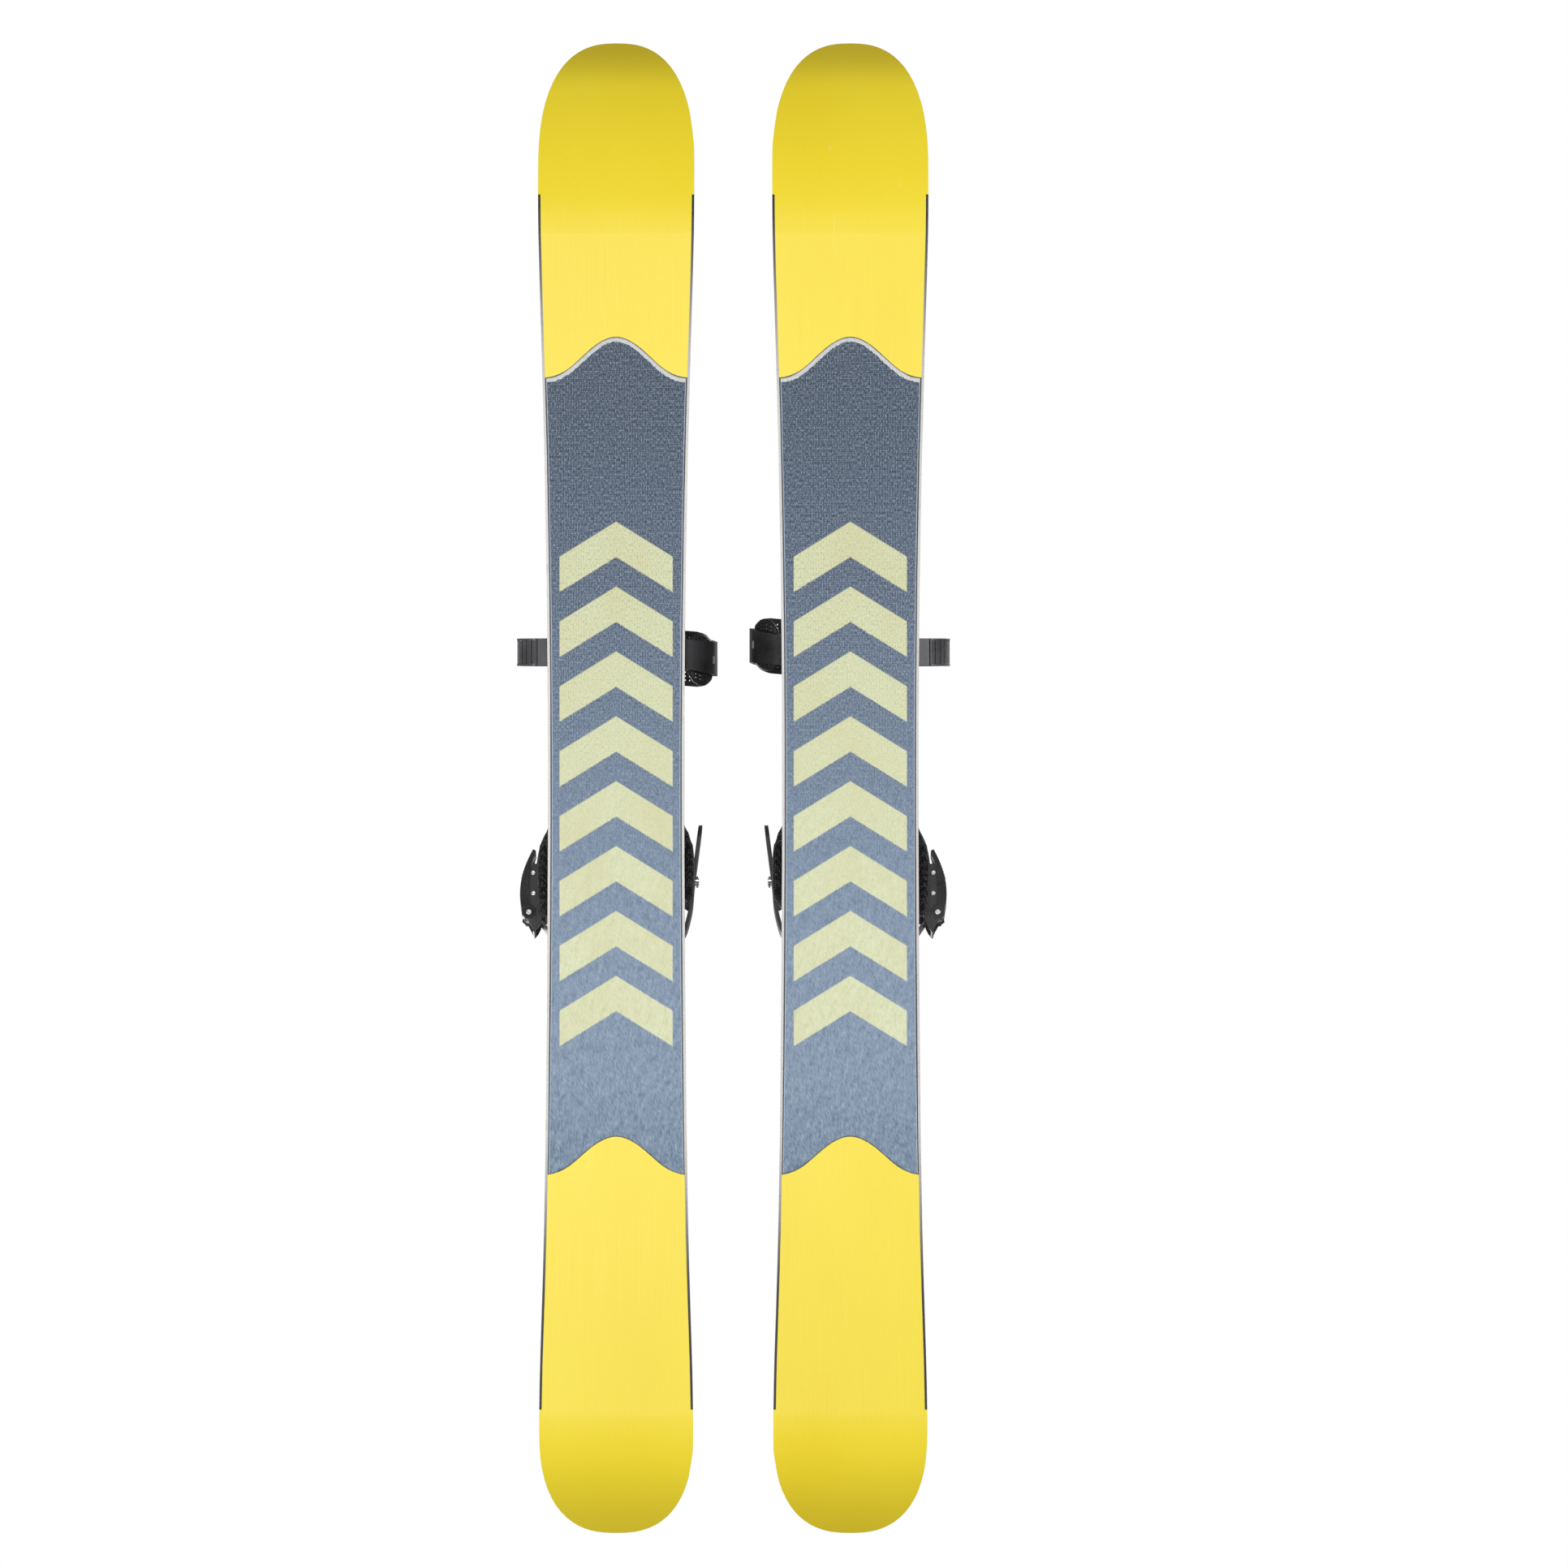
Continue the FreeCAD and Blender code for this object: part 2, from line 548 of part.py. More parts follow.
def buckle_base():
    start, end = BUCKLE_ENDS
    nose_l, nose_h = BUCKLE_NOSE
    floor = box(start, end, -BUCKLE_HALF, BUCKLE_HALF, 0, BUCKLE_FLOOR)
    wall_line = [(start, 0), (-25.5, 2.8), (-29, 4.6), (nose_l, nose_h), (-27.5, 9.8),
                 (-22.5, 12.6), (-19.5, 14.6), (-15.5, 15), (-12, 14.6), (-8, 13.2), (19, 11.6),
                 (end, 9.2), (end, 0)]
    walls = both_sides(wall_line, BUCKLE_HALF - BUCKLE_WALL, BUCKLE_HALF)
    lip_line = [(nose_l, nose_h), (nose_l + 1.8, 6.4), (nose_l + 6.5, 6.4),
                (nose_l + 7, nose_h + 0.6), (nose_l + 1, nose_h + 1)]
    lip = side_profile(lip_line, -BUCKLE_HALF, BUCKLE_HALF)
    base = joined([floor, lip] + walls)
    for l, h, radius in (LEVER_AXLE, PAWL_AXLE, SPRING_PIN):
        base = base.cut(across(l, h, radius, 20))
    for l in RIVET_AT:
        base = base.cut(rod(RIVET_RADIUS, V(l, 0, -1), 4, V(0, 0, 1)))
        base = base.cut(rod(3.4, V(l, 0, 1.0), 2, V(0, 0, 1)))
    return base


def buckle_lever():
    """Lever with its toothed hub between the base's walls and a star cheek outside each."""
    l, h, radius = LEVER_AXLE
    hub = across(l, h, 4.2, HUB_HALF)
    plate = bowed_plate(LEVER_LINE, LEVER_THICKNESS, LEVER_HALF)
    web_line = [(l - 2.5, h), (-15.5, 15.6), (-11.5, 16.8), (-2, 18.2), (-6, 15), (l + 3.5, h)]
    skirt_line = [(-15, 15.5), *LEVER_LINE, (35, 6.6), (29, 8.4), (22, 10.4), (13, 11.3), (3, 11.7),
                  (-6, 11.4), (-12, 10.6)]
    outer = LEVER_HALF - LEVER_CHEEK
    pieces = [hub, plate, star(WHEEL_RADIUS, 1.5, WHEEL_TEETH, -WHEEL_HALF, WHEEL_HALF)]
    pieces += both_sides(web_line, HUB_HALF - 2.0, HUB_HALF)
    pieces += both_sides(skirt_line, outer, LEVER_HALF)
    pieces += [star(STAR_RADIUS, 0.9, 8, outer, LEVER_HALF),
               star(STAR_RADIUS, 0.9, 8, -LEVER_HALF, -outer)]
    lever = joined(pieces)
    start, end, half, depth = GRIP_RECESS
    recess = bowed_plate(LEVER_LINE, 4.0, half, LEVER_THICKNESS / 2 - depth + 2.0)
    recess = recess.common(box(start, end, -half, half, 0, 40))
    return lever.cut(recess).cut(across(l, h, radius + FIT, 20))


def buckle_pawl():
    l, h, radius = PAWL_AXLE
    hub = across(l, h, 2.4, PAWL_HALF)
    tab = bowed_plate(((l, h + 1.4), (5, 10.5), (10, 10.6), (14, 9.8)), 2.0, PAWL_HALF)
    claw = side_profile([(l + 1, h + 2), (l - 5, h + 1.4), (l - 8.5, h - 1.1), (l - 3, h - 1.2),
                         (l, h - 1.6)], -PAWL_HALF, PAWL_HALF)
    return joined([hub, tab, claw]).cut(across(l, h, radius + FIT, 20))


def torsion_spring(w0):
    """Three turns of wire about the pawl's axle, with a leg that rests on the spring pin."""
    l, h = PAWL_AXLE[0], PAWL_AXLE[1]
    pitch = 2.6 * SPRING_WIRE
    helix = Part.makeHelix(pitch, 3 * pitch, SPRING_RADIUS)
    section = Part.Wire(Part.makeCircle(SPRING_WIRE, V(SPRING_RADIUS, 0, 0), V(0, 1, 0)))
    coil = Part.Wire(helix.Edges).makePipeShell([section], True, True)
    leg = rod(SPRING_WIRE, V(SPRING_RADIUS, 0, 0), 17.0, V(0, 1, 0))
    spring = coil.fuse(leg)
    # the coil's axis turns from +z to +w, and its leg from +y to +l
    turn = FreeCAD.Rotation(V(0, 0, 1), V(1, 0, 0), V(0, 1, 0), "ZXY")
    place = FreeCAD.Placement(V(l, w0, h), turn)
    return spring.transformed(place.toMatrix(), True)


def pin(l, h, radius, half):
    """Rivet across the buckle with a rounded hollow head at each end."""
    pieces = [across(l, h, radius, half)]
    for w0, w1 in ((half, half + 0.9), (-half, -half - 0.9)):
        head = rod(radius + 0.75, V(l, w0, h), abs(w1 - w0), V(0, math.copysign(1, w1), 0))
        rim = [edge for edge in head.Edges if abs(edge.CenterOfMass.y - w1) < 0.01]
        pieces.append(head.makeFillet(0.5, rim))
    hollows = across(l, h, 0.8, half + 5).cut(across(l, h, 1.0, half - 0.6))
    return joined(pieces).cut(hollows)


def buckle_hardware():
    """Two axles, the spring pin, two rivets and two torsion springs."""
    pieces = [pin(*LEVER_AXLE, LEVER_HALF), pin(*PAWL_AXLE, BUCKLE_HALF),
              pin(*SPRING_PIN, BUCKLE_HALF)]
    for l in RIVET_AT:
        shank = rod(RIVET_RADIUS, V(l, 0, -3.0), 4.0, V(0, 0, 1))
        pieces.append(shank.fuse(rod(3.4, V(l, 0, 1.0), 0.9, V(0, 0, 1))).removeSplitter())
    springs = [torsion_spring(w) for w in (7.6, -10.3)]
    return pieces, springs


def buckle(turn, at):
    """All pieces of a buckle, turned and moved to its strap's frame."""
    place = FreeCAD.Placement(at, turn).toMatrix()
    pins, springs = buckle_hardware()
    pieces = {"base": buckle_base(), "lever": buckle_lever(), "release": buckle_pawl(),
              "pins_and_springs": Part.makeCompound(pins + springs)}
    return {name: shape.transformed(place, True) for name, shape in pieces.items()}


# ---------------------------------------------------------------- strap assemblies
def toe_strap():
    turn = FreeCAD.Rotation(V(-1, 0, 0), V(0, 0, 1), V(0, 1, 0), "ZXY")
    fittings = buckle(turn, V(TOE_BUCKLE[0], TOE_BUCKLE[1], 0))
    hardware = fittings["pins_and_springs"]
    inner = with_lug(ribbon(TOE_INNER, STRAP, TOE_STRAP_WIDEST), -1, STRAP_HALF)
    narrow = [V(-100, s, -reach) for s, reach, _ in TOE_BAND]
    wide = [V(-100, s, reach) for s, _, reach in TOE_BAND]
    outline = Part.Wire([spline(narrow), Part.makeLine(narrow[-1], wide[-1]),
                         spline(wide[::-1]), Part.makeLine(wide[0], narrow[0])])
    inner = inner.common(Part.Face(outline).extrude(V(200, 0, 0))).cut(hardware)
    for s in TOE_SLOTS:
        inner = inner.cut(box(-90, -60, s, s + 3.2, TOE_SLOT_W - 3.0, TOE_SLOT_W + 3.0))
    outer = with_lug(ladder(TOE_OUTER, LADDER_HALF, 18.0), 1, LADDER_HALF, LADDER)
    edge = [V(x, -10, half) for x, half in TOE_PAD_EDGE]
    edge += [V(x, -10, -half) for x, half in reversed(TOE_PAD_EDGE)]
    lining = ribbon(TOE_LINING, STRAP, TOE_PAD_HALF).common(polygon_prism(edge, V(0, 120, 0)))
    skew = FreeCAD.Matrix()
    skew.A31 = -TOE_PAD_SKEW
    lining = lining.transformGeometry(skew)
    pieces = {"toe_inner_strap": inner, "toe_ladder": outer, "toe_pad": lining.cut(hardware)}
    for name, shape in fittings.items():
        pieces["toe_buckle_" + name] = shape
    return {name: leaned(shape, TOE_TILT, TOE_BOLT) for name, shape in pieces.items()}


def ankle_strap():
    turn = FreeCAD.Rotation(V(0, 1, 0), V(0, 0, 1), V(1, 0, 0), "ZXY")
    fittings = buckle(turn, V(ANKLE_BUCKLE[0], ANKLE_BUCKLE[1], 0))
    inner = with_lug(ribbon(ANKLE_INNER, STRAP, STRAP_HALF), -1, STRAP_HALF)
    inner = rounded_end(inner, STRAP_HALF, -90, -30, ANKLE_INNER[-1][1])
    outer = with_lug(ladder(ANKLE_OUTER, LADDER_HALF, 22.0), 1, LADDER_HALF, LADDER)
    rivets = []
    for w in (-6.0, 6.0):
        shank = rod(RIVET_RADIUS, V(-67.0, 58.0, w), 9.0, V(1, 0, 0))
        rivets.append(shank.fuse(rod(3.4, V(-66.4, 58.0, w), 1.6, V(1, 0, 0))).removeSplitter())
    studs = Part.makeCompound(rivets)
    fittings["pins_and_springs"] = Part.makeCompound(
        fittings["pins_and_springs"].Solids + studs.Solids)
    hardware = fittings["pins_and_springs"]
    start, rise = PAD_ROLL
    rolls = ribbon(ANKLE_LINING, PAD_THICKNESS + rise, PAD_HALF, rise / 2)
    rolls = rolls.cut(box(-90, 90, -20, 200, -start, start))
    lining = joined([ribbon(ANKLE_LINING, PAD_THICKNESS, PAD_HALF), rolls]).cut(hardware)
    pieces = {"ankle_inner_strap": inner.cut(hardware), "ankle_ladder": outer,
              "ankle_pad": lining}
    for name, shape in fittings.items():
        pieces["ankle_buckle_" + name] = shape
    return {name: leaned(shape, ANKLE_TILT, ANKLE_BOLT) for name, shape in pieces.items()}


def heel_strap():
    strap = ribbon(HEEL_PATH, STRAP, HEEL_STRAP_HALF)
    strap = with_lug(with_lug(strap, 1, HEEL_STRAP_HALF), -1, HEEL_STRAP_HALF)
    reach = box(20, 80, KEEPER_SPAN[0], KEEPER_SPAN[1], -30, 30)
    ring = ribbon(HEEL_PATH, STRAP + 3.6, HEEL_STRAP_HALF + 2.4)
    slot = ribbon(HEEL_PATH, STRAP + 0.2, HEEL_STRAP_HALF + 0.2)
    keeper = ring.common(reach).cut(slot)
    pieces = {"heel_strap": strap, "heel_strap_keeper": keeper}
    return {name: leaned(shape, HEEL_TILT, HEEL_BOLT) for name, shape in pieces.items()}


# ---------------------------------------------------------------- the whole pair
def one_ski():
    pieces = ski_body()
    pieces.update(hinge_pieces())
    pieces["foot_plate"] = foot_plate()
    pieces["foot_grip_pads"] = grip_pads()
    pieces["strap_bolts"] = strap_bolts()
    pieces.update(toe_strap())
    pieces.update(ankle_strap())
    pieces.update(heel_strap())
    return pieces


def main():
    os.makedirs("parts", exist_ok=True)
    for name, shape in one_ski().items():
        right = shape.copy()
        right.translate(V(STANCE / 2, 0, 0))
        right.exportStep("parts/right_" + name + ".step")
        left = right.mirror(V(0, 0, 0), V(1, 0, 0))
        if name in ("toe_inner_strap", "toe_pad"):
            # the same part as on the other ski, turned round
            left = left.mirror(V(0, TOE_BOLT[0], 0), V(0, 1, 0))
        left.exportStep("parts/left_" + name + ".step")


main()
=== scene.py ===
"""Looks of a pair of short, wide touring skis with strap bindings.

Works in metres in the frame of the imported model: +Z up, +Y to the tips. Each
ski's own frame has x outwards from its centre line, as the straps' frames do:
x outwards, s along the strap from its bolts, w across it.
"""
import bpy
import bmesh
import math
from mathutils import Matrix, Vector, noise
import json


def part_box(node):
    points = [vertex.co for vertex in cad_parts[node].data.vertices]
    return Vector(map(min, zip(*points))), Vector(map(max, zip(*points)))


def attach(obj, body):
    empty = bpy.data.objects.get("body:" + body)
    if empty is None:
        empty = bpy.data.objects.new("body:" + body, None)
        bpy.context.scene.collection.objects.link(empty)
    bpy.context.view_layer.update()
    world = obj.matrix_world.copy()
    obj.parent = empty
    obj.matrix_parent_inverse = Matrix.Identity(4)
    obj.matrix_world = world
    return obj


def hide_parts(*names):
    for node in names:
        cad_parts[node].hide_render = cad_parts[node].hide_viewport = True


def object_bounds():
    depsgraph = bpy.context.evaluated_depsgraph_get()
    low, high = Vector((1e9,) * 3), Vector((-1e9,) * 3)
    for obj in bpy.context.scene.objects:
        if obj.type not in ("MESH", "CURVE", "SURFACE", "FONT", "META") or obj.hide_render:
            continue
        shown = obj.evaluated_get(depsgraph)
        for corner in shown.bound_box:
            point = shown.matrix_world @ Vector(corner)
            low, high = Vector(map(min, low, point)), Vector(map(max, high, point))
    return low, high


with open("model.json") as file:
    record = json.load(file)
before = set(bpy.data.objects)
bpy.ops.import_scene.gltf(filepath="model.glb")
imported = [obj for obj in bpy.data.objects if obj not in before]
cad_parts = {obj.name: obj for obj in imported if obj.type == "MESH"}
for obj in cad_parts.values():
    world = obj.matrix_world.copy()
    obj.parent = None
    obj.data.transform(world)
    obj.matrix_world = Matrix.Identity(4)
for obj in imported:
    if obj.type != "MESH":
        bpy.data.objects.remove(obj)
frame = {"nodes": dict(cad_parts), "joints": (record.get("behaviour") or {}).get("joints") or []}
cad_low, cad_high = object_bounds()

MM = 0.001
STRAP_TILTS = {"toe": 90.0, "ankle": 12.0, "heel": 160.0}    # degrees up from +Y
JOINTS = {joint["name"]: joint for joint in frame["joints"]}
SIDES = {"right": 1.0, "left": -1.0}
BASE_LOW, BASE_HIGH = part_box("right_base")
HALF_STANCE = (BASE_LOW[0] + BASE_HIGH[0]) / 2


# ---------------------------------------------------------------- places
class Strap:
    """Frame of one strap: turns (x, s, w) in millimetres into the row frame."""

    def __init__(self, side, name):
        self.sign = SIDES[side]
        self.bolt = Vector(JOINTS[f"{side}_{name}_strap_swing"]["pos_m"])
        self.turn = math.radians(STRAP_TILTS[name])

    def at(self, x, s, w):
        along = s * math.cos(self.turn) - w * math.sin(self.turn)
        up = s * math.sin(self.turn) + w * math.cos(self.turn)
        side = self.sign * (HALF_STANCE + x * MM)
        return Vector((side, self.bolt.y + along * MM, self.bolt.z + up * MM))

    def inside(self, point):
        """(x, s, w) in millimetres of a point in the row frame."""
        x = (point.x * self.sign - HALF_STANCE) / MM
        along, up = (point.y - self.bolt.y) / MM, (point.z - self.bolt.z) / MM
        return (x, along * math.cos(self.turn) + up * math.sin(self.turn),
                up * math.cos(self.turn) - along * math.sin(self.turn))


def smooth_path(points, count):
    """Even points on a smooth line through points of the plane.

    Gives (point, unit normal, distance from the start) for each of them.
    """
    steps = 24
    dense = []
    closed = [points[0]] + list(points) + [points[-1]]
    for k in range(1, len(closed) - 2):
        for step in range(steps):
            t = step / steps
            row = []
            for axis in (0, 1):
                a, b, c, d = (closed[k + j][axis] for j in (-1, 0, 1, 2))
                row.append(0.5 * (2 * b + (c - a) * t + (2 * a - 5 * b + 4 * c - d) * t ** 2
                                  + (3 * b - a - 3 * c + d) * t ** 3))
            dense.append(Vector(row))
    dense.append(Vector(points[-1]))
    reach = [0.0]
    for one, two in zip(dense, dense[1:]):
        reach.append(reach[-1] + (two - one).length)
    samples = []
    k = 0
    for step in range(count):
        goal = reach[-1] * step / (count - 1)
        while k < len(dense) - 2 and reach[k + 1] < goal:
            k += 1
        part = (goal - reach[k]) / max(reach[k + 1] - reach[k], 1e-9)
        point = dense[k].lerp(dense[k + 1], part)
        ahead = (dense[k + 1] - dense[k]).normalized()
        samples.append((point, Vector((ahead.y, -ahead.x)), goal))
    return samples


def make_mesh(name, vertices, faces):
    """New smooth object of a closed mesh, with its faces turned outwards."""
    shape = bmesh.new()
    corners = [shape.verts.new(vertex) for vertex in vertices]
    for face in faces:
        shape.faces.new([corners[k] for k in face])
    bmesh.ops.recalc_face_normals(shape, faces=shape.faces)
    mesh = bpy.data.meshes.new(name)
    shape.to_mesh(mesh)
    shape.free()
    mesh.shade_smooth()
    piece = bpy.data.objects.new(name, mesh)
    bpy.context.scene.collection.objects.link(piece)
    return piece


def loft(name, rings):
    """Closed skin over rings of points, capped at both ends."""
    width = len(rings[0])
    faces = [tuple(range(width)), tuple(width * (len(rings) - 1) + j for j in range(width))]
    for k in range(len(rings) - 1):
        for j in range(width):
            i = (j + 1) % width
            a, b = k * width, (k + 1) * width
            faces.append((a + j, b + j, b + i, a + i))
    return make_mesh(name, [point for ring in rings for point in ring], faces)


def apply_modifiers(piece):
    """Replaces the mesh of a piece by what its modifiers make of it."""
    graph = bpy.context.evaluated_depsgraph_get()
    mesh = bpy.data.meshes.new_from_object(piece.evaluated_get(graph))
    piece.modifiers.clear()
    piece.data = mesh


def smoothly(value, low, high):
    """0 below low, 1 above high, and a smooth step between."""
    t = min(1.0, max(0.0, (value - low) / (high - low)))
    return t * t * (3 - 2 * t)


# ---------------------------------------------------------------- materials
class Paint:
    """A Principled material, with short calls that add and link its nodes."""

    def __init__(self, name, **constants):
        self.material = bpy.data.materials.new(name)
        self.material.use_nodes = True
        self.nodes = self.material.node_tree.nodes
        self.links = self.material.node_tree.links
        self.shader = self.nodes["Principled BSDF"]
        for key, value in constants.items():
            self.shader.inputs[key.replace("_", " ")].default_value = value
        self.object_place = self.add("TexCoord").outputs["Object"]

    def add(self, kind, inputs=None, **settings):
        node = self.nodes.new("ShaderNode" + kind)
        for key, value in settings.items():
            setattr(node, key, value)
        for key, value in (inputs or {}).items():
            self.give(node.inputs[key], value)
        return node

    def give(self, socket, value):
        if isinstance(value, bpy.types.NodeSocket):
            self.links.new(value, socket)
        else:
            socket.default_value = value

    def math(self, operation, one, two=0.0):
        return self.add("Math", {0: one, 1: two}, operation=operation).outputs[0]

    def axes(self):
        return self.add("SeparateXYZ", {0: self.object_place}).outputs

    def aside(self):
        """Distance from the nearer ski's centre line."""
        x = self.axes()[0]
        return self.math("ABSOLUTE", self.math("SUBTRACT", self.math("ABSOLUTE", x), HALF_STANCE))

    def wave(self, value, pitch):
        return self.math("SINE", self.math("MULTIPLY", value, 2 * math.pi / pitch))

    def noise(self, stretch, detail=3.0, rough=0.5, turn=0.0):
        inputs = {"Vector": self.object_place, "Rotation": (0, 0, turn),
                  "Scale": [1 / value for value in stretch]}
        place = self.add("Mapping", inputs, vector_type="TEXTURE").outputs[0]
        inputs = {"Vector": place, "Scale": 1.0, "Detail": detail, "Roughness": rough}
        return self.add("TexNoise", inputs).outputs[0]

    def fit(self, value, low, high, to_low=0.0, to_high=1.0, smooth=False):
        """Value from low..high to to_low..to_high, held at both ends."""
        inputs = {"Value": value, "From Min": low, "From Max": high,
                  "To Min": to_low, "To Max": to_high}
        shape = "SMOOTHSTEP" if smooth else "LINEAR"
        return self.add("MapRange", inputs, interpolation_type=shape).outputs[0]

    def mix(self, factor, one, two):
        node = self.add("Mix", {0: factor}, data_type="RGBA")
        self.give(node.inputs[6], one)
        self.give(node.inputs[7], two)
        return node.outputs[2]

    def bump(self, height, distance, strength=1.0, under=None):
        inputs = {"Height": height, "Distance": distance, "Strength": strength}
        if under:
            inputs["Normal"] = under
        return self.add("Bump", inputs).outputs[0]

    def finish(self, color=None, roughness=None, normal=None):
        for name, value in (("Base Color", color), ("Roughness", roughness), ("Normal", normal)):
            if value is not None:
                self.give(self.shader.inputs[name], value)
        return self.material


def rgb(red, green, blue):
    """Linear colour from display values of 0 to 255."""
    parts = [c / 255 for c in (red, green, blue)]
    return tuple(c / 12.92 if c < 0.04045 else ((c + 0.055) / 1.055) ** 2.4 for c in parts) + (1,)


def running_base():
    """Waxed polyethylene with the fine lengthwise structure of a stone grind."""
    p = Paint("running_base", IOR=1.42)
    _, y, z = p.axes()
    cloudy = p.noise((9, 4, 9), 4)
    grind = p.noise((1500, 9, 1500), 2)
    scratch = p.fit(p.noise((260, 3.5, 260), 2, 0.6), 0.70, 0.76)
    color = p.mix(p.fit(cloudy, 0.3, 0.7), rgb(238, 214, 40), rgb(242, 220, 50))
    color = p.mix(p.math("MULTIPLY", p.fit(grind, 0.35, 0.75), 0.07), color, rgb(225, 196, 48))
    color = p.mix(p.math("MULTIPLY", scratch, 0.16), color, rgb(255, 243, 170))
    # Painted shade: the base is darkened towards the upturned tip and tail.
    ends = p.math("MAXIMUM", p.fit(y, 0.566, 0.600, 0.0, 0.40, smooth=True),
                  p.fit(y, -0.53, -0.606, 0.0, 0.30, smooth=True))
    color = p.mix(ends, color, rgb(150, 128, 20))
    # Painted shade: between the cuts, where the base lies deeper than 0.2 mm in the skin's pocket, it
    # is near black, as the groove round the skin.
    level = p.math("MULTIPLY", p.fit(y, 0.368, 0.3675), p.fit(y, -0.3165, -0.316))
    pocket = p.math("MULTIPLY", level, p.fit(z, 0.0002, 0.0004))
    color = p.mix(pocket, color, rgb(17, 15, 14))
    rough = p.fit(grind, 0.3, 0.7, 0.25, 0.34)
    fine = p.bump(grind, 0.00004, 0.4)
    return p.finish(color, rough, p.bump(scratch, 0.00005, 0.4, fine))


PRINT = (-0.184, 0.237)     # from y to y
CHEVRONS = 8


def plush():
    """Climbing skin: woven plush, tight in front and streaked behind, with a chevron print.

    Its UV map holds the distances to the skin's sides and to its front cut.
    """
    p = Paint("plush", Sheen_Weight=0.15, Sheen_Roughness=0.5, Specular_IOR_Level=0.12)
    x, y, _ = p.axes()
    aside = p.aside()
    margins = p.add("SeparateXYZ", {0: p.add("UVMap").outputs[0]}).outputs
    grid = p.math("MULTIPLY", p.math("ADD", p.wave(y, 1.2 * MM), p.wave(x, 1.3 * MM)), 0.10)
    tuft = p.noise((1000, 420, 60), 3, 0.65)
    streak = p.noise((900, 230, 60), 3, 0.6, math.radians(-14))
    swirl = p.noise((240, 90, 60), 3, 0.6, math.radians(10))
    rear = p.fit(y, 0.20, -0.25, smooth=True)
    woven = p.math("ADD", grid, p.fit(tuft, 0.2, 0.8, 0.11, 0.93))
    pile = p.math("ADD", p.math("MULTIPLY", swirl, 0.45), p.math("MULTIPLY", streak, 0.75))
    depth = p.add("Mix", {0: rear, 2: woven, 3: pile}, data_type="FLOAT").outputs[0]
    color = p.mix(p.fit(y, 0.36, -0.18, smooth=True), rgb(76, 87, 103), rgb(124, 141, 163))
    color = p.mix(p.fit(y, -0.24, -0.31), color, rgb(108, 127, 149))
    # Painted shade and painted highlight: darker in the pile's hollows and paler on the tops of its
    # tufts.
    color = p.mix(p.fit(depth, 0.52, 0.30, 0.0, 0.60), color, rgb(43, 51, 62))
    color = p.mix(p.fit(depth, 0.52, 0.80, 0.0, 0.62), color, rgb(178, 191, 206))

    pitch = (PRINT[1] - PRINT[0]) / CHEVRONS
    step = p.math("DIVIDE", p.math("ADD", p.math("SUBTRACT", y, PRINT[0]),
                                   p.math("MULTIPLY", aside, 0.62)), pitch)
    ragged = p.math("MULTIPLY", p.math("SUBTRACT", tuft, 0.5), 0.03)
    phase = p.math("FRACT", p.math("ADD", step, ragged))
    inked = p.math("MULTIPLY", p.fit(phase, 0.035, 0.055), p.fit(phase, 0.60, 0.58))
    inked = p.math("MULTIPLY", inked, p.fit(aside, 0.0462, 0.0456))
    inked = p.math("MULTIPLY", inked, p.fit(step, 0.0, 0.02))
    inked = p.math("MULTIPLY", inked, p.fit(step, CHEVRONS, CHEVRONS - 0.02))
    # Painted highlight: the ink is paler on the tops of the tufts.
    ink = p.mix(p.fit(depth, 0.36, 0.66), rgb(197, 202, 160), rgb(222, 226, 190))
    ink = p.mix(p.fit(p.noise((24, 9, 9), 4), 0.4, 0.75, 0.0, 0.4), ink, rgb(208, 200, 150))
    # Painted shade: the print is thinner in the pile's hollows.
    painted_hollow_shade_and_dark_ends = p.fit(depth, 0.20, 0.34, 0.55, 0.97)
    color = p.mix(p.math("MULTIPLY", inked, painted_hollow_shade_and_dark_ends), color, ink)

    fringe = p.math("ADD", margins[0], p.math("MULTIPLY", p.math("SUBTRACT", tuft, 0.5), 0.0012))
    color = p.mix(p.fit(fringe, 0.0007, 0.0004, 0.0, 0.75), color, rgb(196, 212, 232))
    column = p.math("FLOOR", p.math("DIVIDE", x, 0.9 * MM))
    nibble = p.add("TexWhiteNoise", {"W": column}, noise_dimensions="1D").outputs["Value"]
    hem = p.math("ADD", margins[1], p.math("MULTIPLY", nibble, 0.0008))
    backing = p.mix(p.fit(tuft, 0.3, 0.7), rgb(188, 190, 190), rgb(224, 225, 224))
    color = p.mix(p.fit(hem, 0.0039, 0.0037), color, backing)
    return p.finish(color, 0.92, p.bump(depth, 0.0003, 0.75))


def edge_steel():
    """Ground steel edge, darker towards its ends."""
    p = Paint("edge_steel", Metallic=0.55)
    y = p.axes()[1]
    grind = p.noise((60, 900, 900), 3)
    rust = p.fit(p.noise((90, 60, 90), 5, 0.7), 0.55, 0.75)
    bright = p.mix(p.fit(grind, 0.3, 0.7), rgb(140, 139, 138), rgb(186, 184, 182))
    dark = p.mix(p.fit(grind, 0.3, 0.7), rgb(22, 23, 25), rgb(62, 62, 64))
    # Darker towards both ends.
    painted_hollow_shade_and_dark_ends = p.math("MAXIMUM", p.fit(y, 0.30, 0.47, smooth=True), p.fit(y, -0.26, -0.42, smooth=True))
    color = p.mix(painted_hollow_shade_and_dark_ends, bright, dark)
    color = p.mix(p.math("MULTIPLY", rust, 0.3), color, rgb(92, 72, 54))
    return p.finish(color, p.fit(grind, 0.3, 0.7, 0.32, 0.52), p.bump(grind, 0.00003, 0.5))


